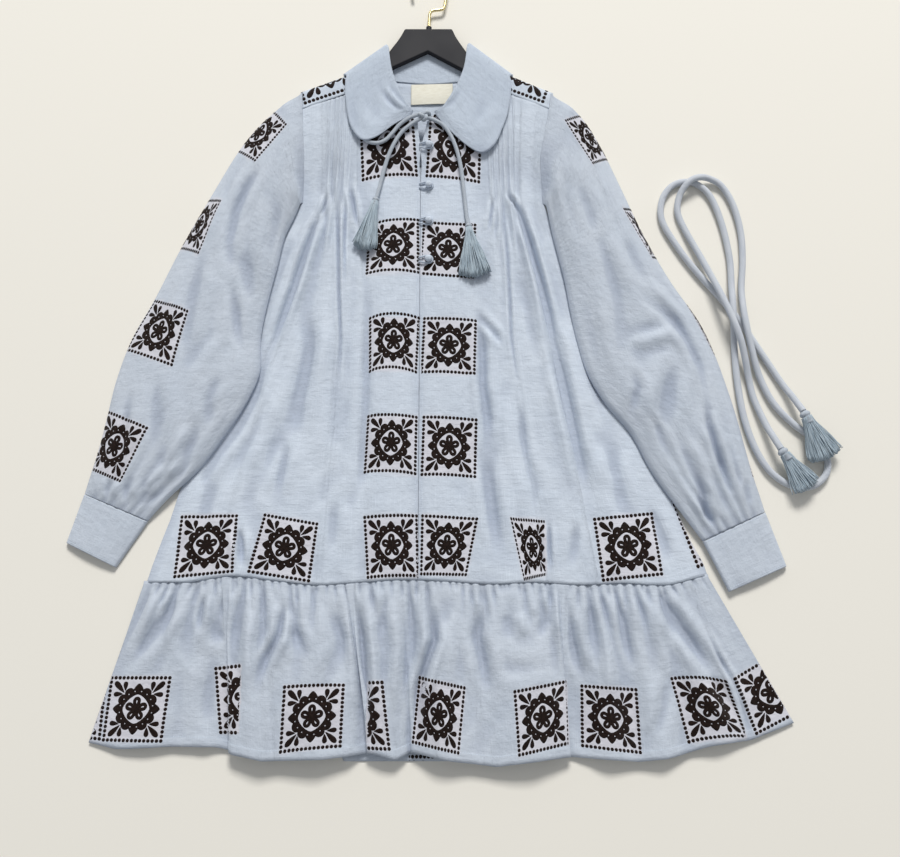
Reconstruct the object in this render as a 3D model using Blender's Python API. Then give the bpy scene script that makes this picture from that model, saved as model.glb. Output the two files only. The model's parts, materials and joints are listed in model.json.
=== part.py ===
"""Linen smock dress with a ruffle tier, laid flat on a hanger, with its rope belt beside it.

Plan tables hold millimetres: x to the right, y toward the neck, z up from the table top.
"""

import bpy
import bmesh
import math
import numpy as np

MM = 0.001
PLAN_CENTRE_X_MM = -28.2
PLAN_CENTRE_Y_MM = 115.0
CLOTH_WALL_MM = 1.2

for old_object in list(bpy.data.objects):
    bpy.data.objects.remove(old_object, do_unlink=True)


def painted(name, colour, roughness, metallic=0.0):
    material = bpy.data.materials.new(name)
    material.use_nodes = True
    shader = material.node_tree.nodes["Principled BSDF"]
    shader.inputs["Base Color"].default_value = (*colour, 1.0)
    shader.inputs["Roughness"].default_value = roughness
    shader.inputs["Metallic"].default_value = metallic
    return material


blue_linen = painted("blue_linen", (0.50, 0.58, 0.68), 0.9)
blue_cord = painted("blue_cord", (0.40, 0.47, 0.56), 0.8)
black_plastic = painted("black_plastic", (0.02, 0.02, 0.022), 0.45)
gold_metal = painted("gold_metal", (0.75, 0.62, 0.30), 0.3, 1.0)
cream_satin = painted("cream_satin", (0.80, 0.78, 0.68), 0.6)


def in_scene(name, mesh, material):
    made = bpy.data.objects.new(name, mesh)
    made.data.materials.append(material)
    bpy.context.scene.collection.objects.link(made)
    return made


def placed(point):
    x, y, z = point
    return ((x - PLAN_CENTRE_X_MM) * MM, (y - PLAN_CENTRE_Y_MM) * MM, z * MM)


def cloth(name, grid, tube=False, keep=None, material=blue_linen, wall=CLOTH_WALL_MM):
    """A sheet through the middle of the cloth, given its wall to both sides."""
    rows = len(grid)
    columns = len(grid[0])
    mesh = bmesh.new()
    points = [[mesh.verts.new(placed(point)) for point in row] for row in grid]
    across = columns if tube else columns - 1
    for row in range(rows - 1):
        for column in range(across):
            if keep is not None and not keep[row][column]:
                continue
            after = (column + 1) % columns
            corners = (
                points[row][column],
                points[row][after],
                points[row + 1][after],
                points[row + 1][column],
            )
            mesh.faces.new(corners)
    loose = [vertex for vertex in mesh.verts if not vertex.link_faces]
    bmesh.ops.delete(mesh, geom=loose, context="VERTS")
    bmesh.ops.recalc_face_normals(mesh, faces=mesh.faces)
    data = bpy.data.meshes.new(name)
    mesh.to_mesh(data)
    mesh.free()
    made = in_scene(name, data, material)
    thickness = made.modifiers.new("wall", "SOLIDIFY")
    thickness.thickness = wall * MM
    thickness.offset = 0.0
    thickness.use_quality_normals = True
    return made


def eased(t):
    t = min(1.0, max(0.0, t))
    return t * t * (3 - 2 * t)


def read(table, at, column):
    """The value of a column of a table whose first column falls or rises, at one place."""
    keys = [row[0] for row in table]
    values = [row[column] for row in table]
    if keys[0] > keys[-1]:
        keys = keys[::-1]
        values = values[::-1]
    return float(np.interp(at, keys, values))


def between(values, t):
    """A rounded curve through evenly numbered values, read at t."""
    i = min(int(t), len(values) - 2)
    part = t - i
    before = values[max(i - 1, 0)]
    start = values[i]
    end = values[i + 1]
    after = values[min(i + 2, len(values) - 1)]
    low = min(start, end)
    high = max(start, end)
    rounded = start + part * (end - start)
    rounded += part * (1 - part) * ((1 - part) * (2 * start - before - end) + part * (2 * end - after - start)) / 2
    return min(max(rounded, low), high)


# Seam between body and ruffle: y every 50 mm from the left side.
SEAM_Y = [-183, -183, -176, -181, -186, -183, -180, -182, -185, -183, -186, -184, -186, -175]


def seam_y(x):
    return between(SEAM_Y, (x + 352) / 50)


# Side of the body from the shoulder to the ruffle: y, left x, right x.
BODY_SIDE = [
    (438, -190.5, 131.5),
    (412, -189.5, 127.5),
    (350, -186.0, 116.0),
    (289, -184.5, 117.0),
    (210, -203.0, 141.5),
    (160, -219.0, 165.5),
    (110, -242.0, 183.0),
    (70, -263.0, 200.0),
    (30, -278.0, 216.0),
    (-28, -299.0, 238.0),
    (-76, -317.0, 257.0),
    (-110, -326.0, 269.0),
    (-139, -336.0, 281.0),
    (-163, -344.0, 292.0),
    (-190, -351.5, 299.0),
]
LEFT, RIGHT = 1, 2

# Height of the middle of the front cloth above the hanger and below it: y, height.
CHEST_HEIGHT = [(470, 12.0), (385, 12.0), (365, 10.6), (340, 7.4), (320, 5.8), (300, 5.5)]

# Top edge of each front half: x, y.  Neckline first, then the yoke seam.
LEFT_FRONT_TOP = [(-191, 411), (-137, 432), (-80, 455), (-72, 432), (-60, 414), (-42, 402), (-30, 402)]
RIGHT_FRONT_TOP = [(-45, 402), (-28, 402), (-6, 414), (12, 432), (20, 457), (77, 433), (130, 410)]


def front_half(name, side, folds, centre, top_line):
    """One half of the front, its columns running down the tucks and the folds they open into."""
    fine = 2
    last = len(folds) - 1
    column_count = last * fine + 1
    levels = (300, 160, 30, -180)
    down = (300, 280, 248, 206, 160, 112, 62, 10, -50, -104, -148, -180)
    grid = []
    top_rows = (0.0, 0.3, 0.62)
    for part in top_rows:
        row = []
        for column in range(column_count):
            t = column / fine
            x = between([fold[0] for fold in folds], t)
            if column == column_count - 1:
                x = read(BODY_SIDE, 300, side)
            top = read(top_line, x, 1)
            if column == column_count - 1:
                top = read(top_line, read(BODY_SIDE, 412, side), 1)
            y = top + (300 - top) * part
            if column == column_count - 1:
                x = read(BODY_SIDE, y, side)
            if column == 0:
                x = centre + (x - centre) + slit_opening(side, y)
            tuck = between([fold[8] for fold in folds], t)
            row.append((x, y, read(CHEST_HEIGHT, y, 1) + 1.3 * tuck))
        grid.append(row)
    for level in down:
        row = []
        for column in range(column_count):
            t = column / fine
            xs = [between([fold[i] for fold in folds], t) for i in range(4)]
            zs = [between([fold[i] for fold in folds], t) for i in range(4, 8)]
            x = float(np.interp(-level, [-y for y in levels], xs))
            z = float(np.interp(-level, [-y for y in levels], zs))
            if column == column_count - 1:
                x = read(BODY_SIDE, level, side)
            y = level
            if level == -180:
                y = seam_y(x) + 0.5
            elif level == -148:
                y = level + (seam_y(x) + 180) / 2
            row.append((x, y, z))
        grid.append(row)
    return cloth(name, grid)


def slit_opening(side, y):
    """How far each edge of the neck slit stands back from the centre front."""
    back = 4.0 if side == LEFT else 8.0
    sign = -1 if side == LEFT else 1
    return sign * back * eased((y - 352) / 50)


# Front folds from the centre out: x at y 300, 160, 30, -180; height there; 1 on a tuck.
LEFT_FOLDS = [
    (-37.2, -37.2, -37.2, -37.2, 7.0, 7.0, 6.0, 6.0, 0.6),
    (-55, -55, -55, -57, 8.0, 8.6, 8.0, 9.0, 1.0),
    (-80, -79, -79, -82, 8.0, 9.0, 8.5, 10.0, 1.0),
    (-112, -101, -99, -100, 4.6, 4.6, 5.0, 6.0, 0.0),
    (-118, -108, -110, -112, 8.0, 9.0, 8.0, 8.0, 1.0),
    (-124, -116, -120, -125, 5.0, 6.0, 6.0, 6.0, 0.0),
    (-130, -126, -130, -140, 9.0, 10.0, 9.0, 9.0, 1.0),
    (-137, -136, -142, -156, 5.0, 5.0, 6.0, 7.0, 0.0),
    (-142, -153, -167, -192, 10.0, 12.0, 11.0, 10.0, 1.0),
    (-147, -170, -192, -226, 5.0, 4.4, 5.0, 5.0, 0.0),
    (-152, -182, -215, -258, 9.0, 10.0, 8.0, 9.0, 1.0),
    (-158, -195, -238, -290, 4.4, 3.0, 2.8, 4.0, 0.0),
    (-170, -207, -258, -322, 4.0, 2.6, 2.5, 6.0, 0.6),
    (-184.5, -219, -278, -351, 2.4, 2.2, 2.2, 2.3, 0.0),
]
RIGHT_FOLDS = [
    (-36.8, -36.8, -36.8, -36.8, 7.0, 7.0, 6.0, 6.0, 0.6),
    (-18, -18, -18, -17, 8.0, 8.6, 8.0, 9.0, 1.0),
    (12, 12, 12, 12, 8.0, 9.0, 8.0, 9.0, 1.0),
    (45, 44, 42, 44, 5.0, 6.4, 5.6, 6.0, 0.0),
    (53, 58, 62, 78, 8.0, 9.6, 10.0, 11.0, 1.0),
    (57, 66, 75, 105, 5.2, 7.6, 9.0, 12.0, 0.0),
    (61, 71, 82, 113, 8.0, 6.0, 5.4, 5.0, 1.0),
    (65, 80, 97, 128, 5.0, 8.0, 8.0, 7.6, 0.0),
    (70, 90, 110, 145, 9.0, 11.0, 10.0, 10.0, 1.0),
    (74, 102, 124, 160, 6.0, 8.0, 8.0, 8.0, 0.0),
    (78, 108, 131, 167, 9.0, 6.0, 6.0, 7.0, 1.0),
    (84, 115, 139, 177, 4.4, 3.6, 4.0, 5.6, 0.0),
    (92, 126, 154, 205, 8.0, 7.0, 7.0, 9.0, 1.0),
    (103, 136, 174, 240, 5.0, 3.4, 3.2, 6.0, 0.4),
    (110, 150, 196, 268, 3.6, 2.8, 2.6, 7.0, 0.2),
    (117, 165.5, 216, 297, 2.4, 2.2, 2.2, 2.3, 0.0),
]
front_half("front_left", LEFT, LEFT_FOLDS, -37.2, LEFT_FRONT_TOP)
front_half("front_right", RIGHT, RIGHT_FOLDS, -36.8, RIGHT_FRONT_TOP)


# Back of the body: flat on the table, from below the yoke to the ruffle seam.
BACK_ROWS = (338.4, 289, 200, 110, 30, -40, -110, -182)
back_grid = []
for level in BACK_ROWS:
    row = []
    left = read(BODY_SIDE, level, LEFT)
    right = read(BODY_SIDE, level, RIGHT)
    for column in range(27):
        x = left + (right - left) * column / 26
        y = seam_y(x) + 1.0 if level == -182 else level
        row.append((x, y, 0.6))
    back_grid.append(row)
cloth("back", back_grid)


# Shoulder line of the yoke and its seam on the front: x, shoulder y, seam y.
SHOULDER = [
    (-190.5, 439, 411.4),
    (-163, 450, 422.4),
    (-136, 461, 432.8),
    (-108, 474, 444.2),
    (-84, 486, 455.0),
    (27, 487, 455.4),
    (52, 475, 444.4),
    (78, 462, 433.2),
    (104, 450, 422.0),
    (131.5, 438, 410.2),
]
# Back neck edge of the yoke: x, y.
BACK_NECK = [(-84, 486), (-78, 466), (-70, 456), (-28, 452.6), (13, 456), (21, 466), (27, 487)]


def yoke_height(y):
    return 0.6 + 1.7 * eased((y - 398) / 36)


yoke_x = [-190.5, -172, -154, -136, -118, -101, -84, -78, -70, -50, -28, -8, 13, 21, 27, 44, 61, 78, 96, 114, 131.5]
yoke_grid = []
for part in (0.0, 0.34, 0.62, 0.82, 1.0):
    row = []
    for x in yoke_x:
        over_neck = -84 < x < 27
        top = read(BACK_NECK, x, 1) if over_neck else read(SHOULDER, x, 1) - 5.2
        side = LEFT if x < -28 else RIGHT
        y = 339.4 + (top - 339.4) * part
        if x in (-190.5, 131.5):
            row.append((read(BODY_SIDE, y, side), y, yoke_height(y)))
        else:
            row.append((x, y, yoke_height(y)))
    yoke_grid.append(row)
# The turn over the shoulder: how far from the shoulder line, height; then down the front.
for back_off, height in ((1.6, 3.7), (0.0, 7.1), (1.6, 10.6), (5.2, 12.1)):
    yoke_grid.append([(x, read(SHOULDER, x, 1) - back_off, height) for x in yoke_x])
yoke_grid.append([(x, (read(SHOULDER, x, 1) - 5.2 + read(SHOULDER, x, 2)) / 2, 12.2) for x in yoke_x])
yoke_grid.append([(x, read(SHOULDER, x, 2) + 1.7, 12.2) for x in yoke_x])
yoke_keep = []
for row in range(len(yoke_grid) - 1):
    yoke_keep.append([row < 4 or yoke_x[i + 1] <= -84 or yoke_x[i] >= 27 for i in range(len(yoke_x) - 1)])
cloth("yoke", yoke_grid, keep=yoke_keep)


# Ruffle waves, left to right: x at the seam, x at the hem, height at the hem, step under (mm).
# A step under draws the cloth back below its neighbour, the lower rows of an overlapping fold.
WAVES = [
    (-352.0, -402.0, 2.4, 0),
    (-343.0, -385.0, 4.0, 0),
    (-322.0, -343.0, 9.0, 0),
    (-292.0, -304.0, 6.0, 0),
    (-277.0, -275.0, 8.0, 0),
    (-264.0, -246.0, 3.0, 0),
    (-261.0, -234.0, 3.0, 1),
    (-259.0, -232.0, 5.6, 1),
    (-257.0, -237.0, 8.4, 1),
    (-254.5, -244.0, 10.4, 1),
    (-251.0, -240.0, 13.6, 0),
    (-237.0, -214.0, 18.0, 0),
    (-214.0, -190.0, 15.0, 0),
    (-177.0, -155.0, 19.0, 0),
    (-136.0, -112.0, 15.0, 0),
    (-121.0, -90.0, 11.5, 0),
    (-118.0, -84.5, 9.6, 1),
    (-116.0, -87.0, 7.0, 1),
    (-113.5, -95.0, 5.8, 1),
    (-111.0, -97.0, 4.0, 1),
    (-108.0, -92.0, 2.6, 1),
    (-98.0, -76.0, 4.5, 0),
    (-82.0, -60.0, 10.0, 0),
    (-60.0, -50.0, 7.0, 0),
    (-54.0, -44.5, 2.8, 0),
    (-50.0, -41.0, 7.6, 0),
    (-24.0, -12.0, 17.0, 0),
    (24.0, 33.0, 11.0, 0),
    (69.0, 89.0, 19.0, 0),
    (106.0, 118.0, 14.5, 0),
    (120.0, 129.0, 11.0, 0),
    (124.0, 133.0, 9.0, 1),
    (126.5, 129.0, 6.4, 1),
    (128.5, 122.0, 5.4, 1),
    (131.0, 121.0, 3.8, 1),
    (134.0, 127.0, 2.6, 1),
    (147.0, 146.0, 4.0, 0),
    (168.0, 176.0, 14.0, 0),
    (198.0, 208.0, 9.0, 0),
    (221.0, 239.0, 13.0, 0),
    (236.0, 265.0, 5.0, 0),
    (256.0, 298.0, 11.0, 0),
    (277.0, 334.0, 5.0, 0),
    (297.0, 384.0, 2.4, 0),
]
# Front hem: x, y.
HEM = [
    (-402, -359),
    (-368, -366),
    (-308, -363),
    (-250, -364),
    (-240, -371),
    (-205, -378),
    (-138, -376),
    (-86, -370),
    (-60, -377),
    (-42, -369),
    (0, -378),
    (51, -384),
    (106, -377),
    (131, -374),
    (179, -377),
    (210, -379),
    (244, -375),
    (290, -362),
    (335, -356),
    (384, -338),
]
GATHER_MM = 14.0
RUFFLE_ROWS = (0.0, 0.05, 0.16, 0.36, 0.66, 1.0)


def ruffle_columns():
    """Seam x, hem x, hem height, whether it is in a fold, and the gather's side, for each column."""
    columns = []
    for i in range(len(WAVES) - 1):
        start = WAVES[i]
        end = WAVES[i + 1]
        steps = max(1, round((end[0] - start[0]) / (GATHER_MM / 2)))
        for step in range(steps):
            t = step / steps
            seam_x = start[0] + (end[0] - start[0]) * t
            hem_x = start[1] + (end[1] - start[1]) * t
            height = between([wave[2] for wave in WAVES], i + t)
            folded = start[3] if step == 0 else 0
            columns.append([seam_x, hem_x, height, folded])
    columns.append([*WAVES[-1]])
    for i, column in enumerate(columns):
        column.append(1 if i % 2 else -1)
    return columns


def ruffle_point(column, down):
    seam_x, hem_x, height, folded, side = column
    drawn = eased((down - 0.18) / 0.82) if folded else down
    opened = down + (drawn - down) * 0.35
    x = seam_x + (hem_x - seam_x) * opened
    top_y = seam_y(seam_x) - 0.5
    hem_y = read(HEM, hem_x, 1)
    y = top_y + (hem_y - top_y) * down
    edge = min(1.0, (seam_x + 352) / 30, (297 - seam_x) / 30)
    seam_height = 2.4 + 3.0 * max(0.0, edge)
    z = seam_height + (height - seam_height) * eased(down * 1.25)
    gather = 1.5 * eased(down / 0.05) * (1 - eased((down - 0.08) / 0.45)) * max(0.0, edge)
    if folded:
        gather = 0.0
    return (x, y, z + gather * side)


front_columns = ruffle_columns()
cloth("ruffle_front", [[ruffle_point(column, down) for column in front_columns] for down in RUFFLE_ROWS])

# The back tier lies flat under it and shows past the front hem between the folds.
back_tier = []
for down in (0.0, 0.12, 0.3, 0.65, 1.0):
    row = []
    for i in range(41):
        seam_x = -351 + 647 * i / 40
        hem_x = -400 + 782 * i / 40
        top_y = seam_y(seam_x) - 1.0
        hem_y = read(HEM, hem_x, 1) + 2.0
        if -120 < hem_x < 100:
            hem_y = min(hem_y, -379)
        x = seam_x + (hem_x - seam_x) * down
        row.append((x, top_y + (hem_y - top_y) * down, 0.6))
    back_tier.append(row)
cloth("ruffle_back", back_tier)


# Sleeve sections from the armhole to the cuff: inner x, y, outer x, y, height, gather.
LEFT_SLEEVE = [
    (-185.9, 290, -191.8, 437, 9.0, 0.0),
    (-188.0, 284, -226, 413, 10.0, 0.0),
    (-194, 267, -263, 367, 12.0, 0.0),
    (-205, 240, -302, 292, 14.0, 0.0),
    (-213, 200, -333, 228, 15.0, 0.0),
    (-222, 158, -361, 162, 16.0, 0.0),
    (-229, 112, -385, 112, 16.0, 0.0),
    (-229, 66, -400, 62, 16.0, 0.1),
    (-246, 24, -408, 17, 15.0, 0.3),
    (-268, -12, -414, -18, 14.0, 0.6),
    (-294, -50, -420, -45, 12.0, 0.9),
    (-328, -84, -425, -66, 9.0, 1.2),
    (-352.6, -111.6, -428.0, -79.6, 5.0, 1.0),
]
RIGHT_SLEEVE = [
    (118.4, 290, 133.0, 436, 9.0, 0.0),
    (121.0, 280, 166, 409, 10.0, 0.0),
    (124, 262, 191, 365, 12.0, 0.0),
    (128, 240, 214, 310, 14.0, 0.0),
    (134, 214, 240, 246, 15.0, 0.0),
    (141, 182, 270, 186, 16.0, 0.0),
    (147, 142, 302, 134, 16.0, 0.0),
    (154, 106, 319, 93, 16.0, 0.1),
    (165, 66, 332, 50, 16.0, 0.2),
    (186, 28, 342, 10, 15.0, 0.4),
    (214, -8, 349, -24, 14.0, 0.6),
    (236, -52, 356, -56, 12.0, 0.9),
    (262, -92, 362, -79, 9.0, 1.2),
    (292.8, -135.4, 367.6, -100.8, 5.0, 1.0),
]
EDGE_RISE = 3.8


def lift_over_body(x, y, side):
    """Height of the sleeve's lower layer: on the table, or on the front where it overlaps it."""
    edge = read(BODY_SIDE, y, side)
    outside = edge - x if side == LEFT else x - edge
    near = 1 - eased((outside - 8) / 26)
    below_armhole = 1 - eased((y - 296) / 34)
    return 0.6 + 4.8 * near * below_armhole


def tube_section(inner, outer, rise, gather, side, over, under, arch=0.75):
    """A flattened loop of cloth: across the top from the inner edge, then back underneath."""
    loop = []
    for i in range(over):
        s = i / (over - 1)
        x = inner[0] + (outer[0] - inner[0]) * s
        y = inner[1] + (outer[1] - inner[1]) * s
        hump = math.sin(math.pi * s) ** arch
        pleat = gather * (1 if i % 2 else -1) * min(1.0, 3 * hump)
        loop.append((x, y, lift_over_body(x, y, side) + EDGE_RISE + rise * hump + pleat))
    for i in range(under):
        s = 1 - i / (under - 1)
        x = inner[0] + (outer[0] - inner[0]) * s
        y = inner[1] + (outer[1] - inner[1]) * s
        loop.append((x, y, lift_over_body(x, y, side)))
    return loop


def sleeve(name, sections, side):
    grid = []
    for inner_x, inner_y, outer_x, outer_y, rise, gather in sections:
        grid.append(tube_section((inner_x, inner_y), (outer_x, outer_y), rise, gather, side, 13, 6))
    cloth(name, grid, tube=True)


sleeve("sleeve_left", LEFT_SLEEVE, LEFT)
sleeve("sleeve_right", RIGHT_SLEEVE, RIGHT)


def cuff(name, side, seam_inner, seam_outer, end_inner, end_outer):
    grid = []
    for down in (0.0, 0.3, 0.65, 1.0):
        inner = [a + (b - a) * down for a, b in zip(seam_inner, end_inner)]
        outer = [a + (b - a) * down for a, b in zip(seam_outer, end_outer)]
        grid.append(tube_section(inner, outer, 4.4 - 1.2 * down, 0.0, side, 9, 5, arch=0.6))
    cloth(name, grid, tube=True)


cuff("cuff_left", LEFT, (-352.8, -112.1), (-428.2, -80.1), (-386, -165), (-444.4, -137))
cuff("cuff_right", RIGHT, (293.0, -135.9), (367.8, -101.3), (320, -193), (388, -164))


def front_height(x, y):
    """The chest under the collar, its tucks included, below the loose cloth of the collar."""
    return read(CHEST_HEIGHT, y, 1) + 1.3


# Collar from the left tip round the back to the right tip: roll x, y, outer x, y, height, lift.
# A height of 0 follows the chest; the rows with a height turn behind the neck and lie flat there.
COLLAR = [
    (-46.5, 408.5, -49.0, 403.5, 0, 1.0),
    (-53.0, 416.0, -70.0, 389.5, 0, 3.4),
    (-58.0, 424.0, -89.0, 373.5, 0, 5.5),
    (-63.0, 434.0, -105.0, 367.0, 0, 5.5),
    (-67.0, 445.0, -117.0, 373.0, 0, 4.0),
    (-71.0, 456.0, -127.5, 394.0, 0, 2.2),
    (-75.0, 472.0, -133.0, 429.0, 0, 1.6),
    (-77.5, 488.0, -133.5, 449.0, 0, 1.6),
    (-79.0, 500.5, -132.5, 458.5, 14.6, 0),
    (-81.8, 504.8, -135.4, 462.2, 12.6, 0),
    (-83.0, 506.3, -136.6, 464.2, 7.6, 0),
    (-81.8, 504.8, -135.4, 462.2, 2.6, 0),
    (-78.5, 500.5, -132.0, 458.0, 0.6, 0),
    (-62.0, 503.0, -104.0, 444.0, 0.6, 0),
    (-45.0, 504.0, -66.0, 436.0, 0.6, 0),
    (-28.0, 504.0, -28.0, 434.0, 0.6, 0),
    (-11.0, 504.0, 10.0, 436.0, 0.6, 0),
    (6.0, 503.0, 48.0, 444.0, 0.6, 0),
    (21.5, 502.5, 76.0, 457.5, 0.6, 0),
    (24.8, 506.8, 79.4, 461.4, 2.6, 0),
    (26.0, 508.3, 80.6, 463.4, 7.6, 0),
    (24.8, 506.8, 79.4, 461.4, 12.6, 0),
    (22.0, 502.5, 76.6, 457.5, 14.6, 0),
    (20.5, 488.0, 78.0, 448.0, 0, 1.6),
    (18.0, 472.0, 77.0, 428.0, 0, 1.6),
    (13.0, 456.0, 73.0, 405.0, 0, 1.8),
    (8.0, 445.0, 66.0, 384.0, 0, 2.4),
    (3.0, 434.0, 56.0, 362.0, 0, 3.4),
    (-2.0, 424.0, 41.0, 351.5, 0, 3.4),
    (-8.0, 416.0, 24.0, 359.0, 0, 3.0),
    (-14.0, 411.0, 4.0, 377.5, 0, 1.8),
    (-20.0, 408.0, -16.0, 401.0, 0, 1.0),
]
collar_grid = []
for roll_x, roll_y, outer_x, outer_y, height, lift in COLLAR:
    row = []
    for step in range(6):
        s = step / 5
        x = roll_x + (outer_x - roll_x) * s
        y = roll_y + (outer_y - roll_y) * s
        z = height
        if height == 0:
            rolled = 1.6 * (1 - s) ** 3
            z = front_height(x, y) + 1.6 + lift * (0.35 + 0.65 * s) + rolled
        row.append((x, y, z))
    collar_grid.append(row)
cloth("collar", collar_grid)

# The stand: the band inside the back neck, from the neck seam up to the roll.
stand_grid = []
for x, seam, roll in (
    (-75.0, 464.0, 493.0),
    (-70.0, 458.4, 499.0),
    (-56.0, 456.6, 501.4),
    (-28.0, 454.6, 502.0),
    (0.0, 456.6, 501.4),
    (13.0, 458.4, 499.0),
    (18.0, 464.0, 493.0),
):
    stand_grid.append([(x, seam + (roll - seam) * s, 2.3) for s in (0.0, 0.5, 1.0)])
cloth("collar_stand", stand_grid)

# The sewn-in label hangs from the neck seam.
label_rows = ((453.0, 3.5), (444.0, 4.4), (434.0, 4.8), (424.0, 4.2))
label_columns = (-50.0, -36.0, -23.0, -10.0, 3.5)
label_grid = [[(x, y + 0.03 * (x + 50), z) for x in label_columns] for y, z in label_rows]
cloth("neck_label", label_grid, material=cream_satin, wall=0.7)


# Hanger outline, from the middle of the top round to the right and back: x, y.
HANGER = [
    (-60, 531),
    (4, 531),
    (9, 514),
    (16, 500),
    (23, 486),
    (28, 475),
    (48, 465),
    (78, 452),
    (104, 440),
    (116, 428),
    (112, 416),
    (98, 421),
    (60, 441),
    (15, 467),
    (-29, 495),
    (-71, 467),
    (-114, 441),
    (-152, 421),
    (-170, 414),
    (-174, 428),
    (-162, 440),
    (-136, 450),
    (-104, 464),
    (-85, 475),
    (-80, 486),
    (-72, 500),
    (-65, 514),
]
HANGER_LOW_MM = 3.3
HANGER_HIGH_MM = 9.8
hanger_mesh = bmesh.new()
hanger_low = [hanger_mesh.verts.new(placed((x, y, HANGER_LOW_MM))) for x, y in HANGER]
hanger_high = [hanger_mesh.verts.new(placed((x, y, HANGER_HIGH_MM))) for x, y in HANGER]
hanger_mesh.faces.new(hanger_low)
hanger_mesh.faces.new(hanger_high[::-1])
for i in range(len(HANGER)):
    j = (i + 1) % len(HANGER)
    hanger_mesh.faces.new((hanger_low[j], hanger_low[i], hanger_high[i], hanger_high[j]))
bmesh.ops.recalc_face_normals(hanger_mesh, faces=hanger_mesh.faces)
hanger_data = bpy.data.meshes.new("hanger")
hanger_mesh.to_mesh(hanger_data)
hanger_mesh.free()
hanger = in_scene("hanger", hanger_data, black_plastic)
hanger_edges = hanger.modifiers.new("edges", "BEVEL")
hanger_edges.width = 1.4 * MM
hanger_edges.segments = 1
hanger_edges.limit_method = "ANGLE"
hanger_edges.angle_limit = math.radians(50)


def smooth_route(route, count):
    """Evenly numbered points of a rounded curve through hand-chosen route points."""
    last = len(route) - 1
    points = []
    for i in range(count):
        t = last * i / (count - 1)
        k = min(int(t), last - 1)
        part = t - k
        before = np.array(route[max(k - 1, 0)], float)
        start = np.array(route[k], float)
        end = np.array(route[k + 1], float)
        after = np.array(route[min(k + 2, last)], float)
        slope_in = (end - before) / 2
        slope_out = (after - start) / 2
        a = 2 * part**3 - 3 * part**2 + 1
        b = part**3 - 2 * part**2 + part
        c = -2 * part**3 + 3 * part**2
        d = part**3 - part**2
        points.append(a * start + b * slope_in + c * end + d * slope_out)
    return points


def round_cord(name, route, thick_mm, count, material=blue_cord, sides=2):
    data = bpy.data.curves.new(name, "CURVE")
    data.dimensions = "3D"
    data.bevel_depth = thick_mm / 2 * MM
    data.bevel_resolution = sides
    data.use_fill_caps = True
    line = data.splines.new("POLY")
    line.points.add(count - 1)
    for point, place in zip(line.points, smooth_route(route, count)):
        point.co = (*placed(place), 1.0)
    made = bpy.data.objects.new(name, data)
    made.data.materials.append(material)
    bpy.context.scene.collection.objects.link(made)
    return made


# Hook wire: up from the hanger, one step to the right, then the open round of the hook.
HOOK = [
    (-27.5, 531.6, 6.5),
    (-27.0, 545, 6.5),
    (-26.0, 555, 6.5),
    (-22.0, 559, 6.5),
    (-12.0, 560.5, 6.5),
    (-8.0, 563, 6.5),
    (-6.0, 572, 6.5),
    (-4.0, 588, 6.5),
    (-8.0, 602, 6.5),
    (-19.0, 611, 6.5),
    (-33.0, 611, 6.5),
    (-45.0, 602, 6.5),
    (-49.0, 589, 6.5),
    (-48.0, 580, 6.5),
]
round_cord("hanger_hook", HOOK, 3.4, 30, gold_metal)


# Fabric-covered ball buttons on the right edge, each held by a loop from the left edge:
# y, height of the cloth there.
BUTTONS = [(363, 12.6), (310, 8.7), (262, 9.2), (211, 9.4)]
BUTTON_X_MM = -26.5
BALL_RADIUS_MM = 4.4
for number, (y, cloth_top) in enumerate(BUTTONS, start=1):
    ball_mesh = bmesh.new()
    bmesh.ops.create_icosphere(ball_mesh, subdivisions=2, radius=BALL_RADIUS_MM * MM)
    bmesh.ops.scale(ball_mesh, vec=(1.0, 1.0, 0.94), verts=ball_mesh.verts)
    middle = placed((BUTTON_X_MM, y, cloth_top - 0.3 + BALL_RADIUS_MM))
    bmesh.ops.translate(ball_mesh, vec=middle, verts=ball_mesh.verts)
    ball_data = bpy.data.meshes.new(f"button_{number}")
    ball_mesh.to_mesh(ball_data)
    ball_mesh.free()
    in_scene(f"button_{number}", ball_data, blue_linen)
    height = cloth_top + 1.0
    loop_route = [
        (-43.0, y + 2.4, height),
        (-36.0, y + 3.0, height),
        (-29.5, y + 4.6, height),
        (-24.0, y + 4.4, height),
        (-21.4, y, height),
        (-24.0, y - 4.4, height),
        (-29.5, y - 4.6, height),
        (-36.0, y - 3.0, height),
        (-43.0, y - 2.4, height),
    ]
    round_cord(f"button_loop_{number}", loop_route, 1.7, 17, blue_linen, sides=0)


# Neck tie: x, y, height.  The knot sits at the throat; one strand runs up under the collar.
knot_mesh = bmesh.new()
bmesh.ops.create_icosphere(knot_mesh, subdivisions=2, radius=1.0 * MM)
bmesh.ops.scale(knot_mesh, vec=(8.6, 7.4, 5.4), verts=knot_mesh.verts)
bmesh.ops.translate(knot_mesh, vec=placed((-33.5, 404.5, 20.0)), verts=knot_mesh.verts)
knot_data = bpy.data.meshes.new("neck_tie_knot")
knot_mesh.to_mesh(knot_data)
knot_mesh.free()
in_scene("neck_tie_knot", knot_data, blue_cord)

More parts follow.
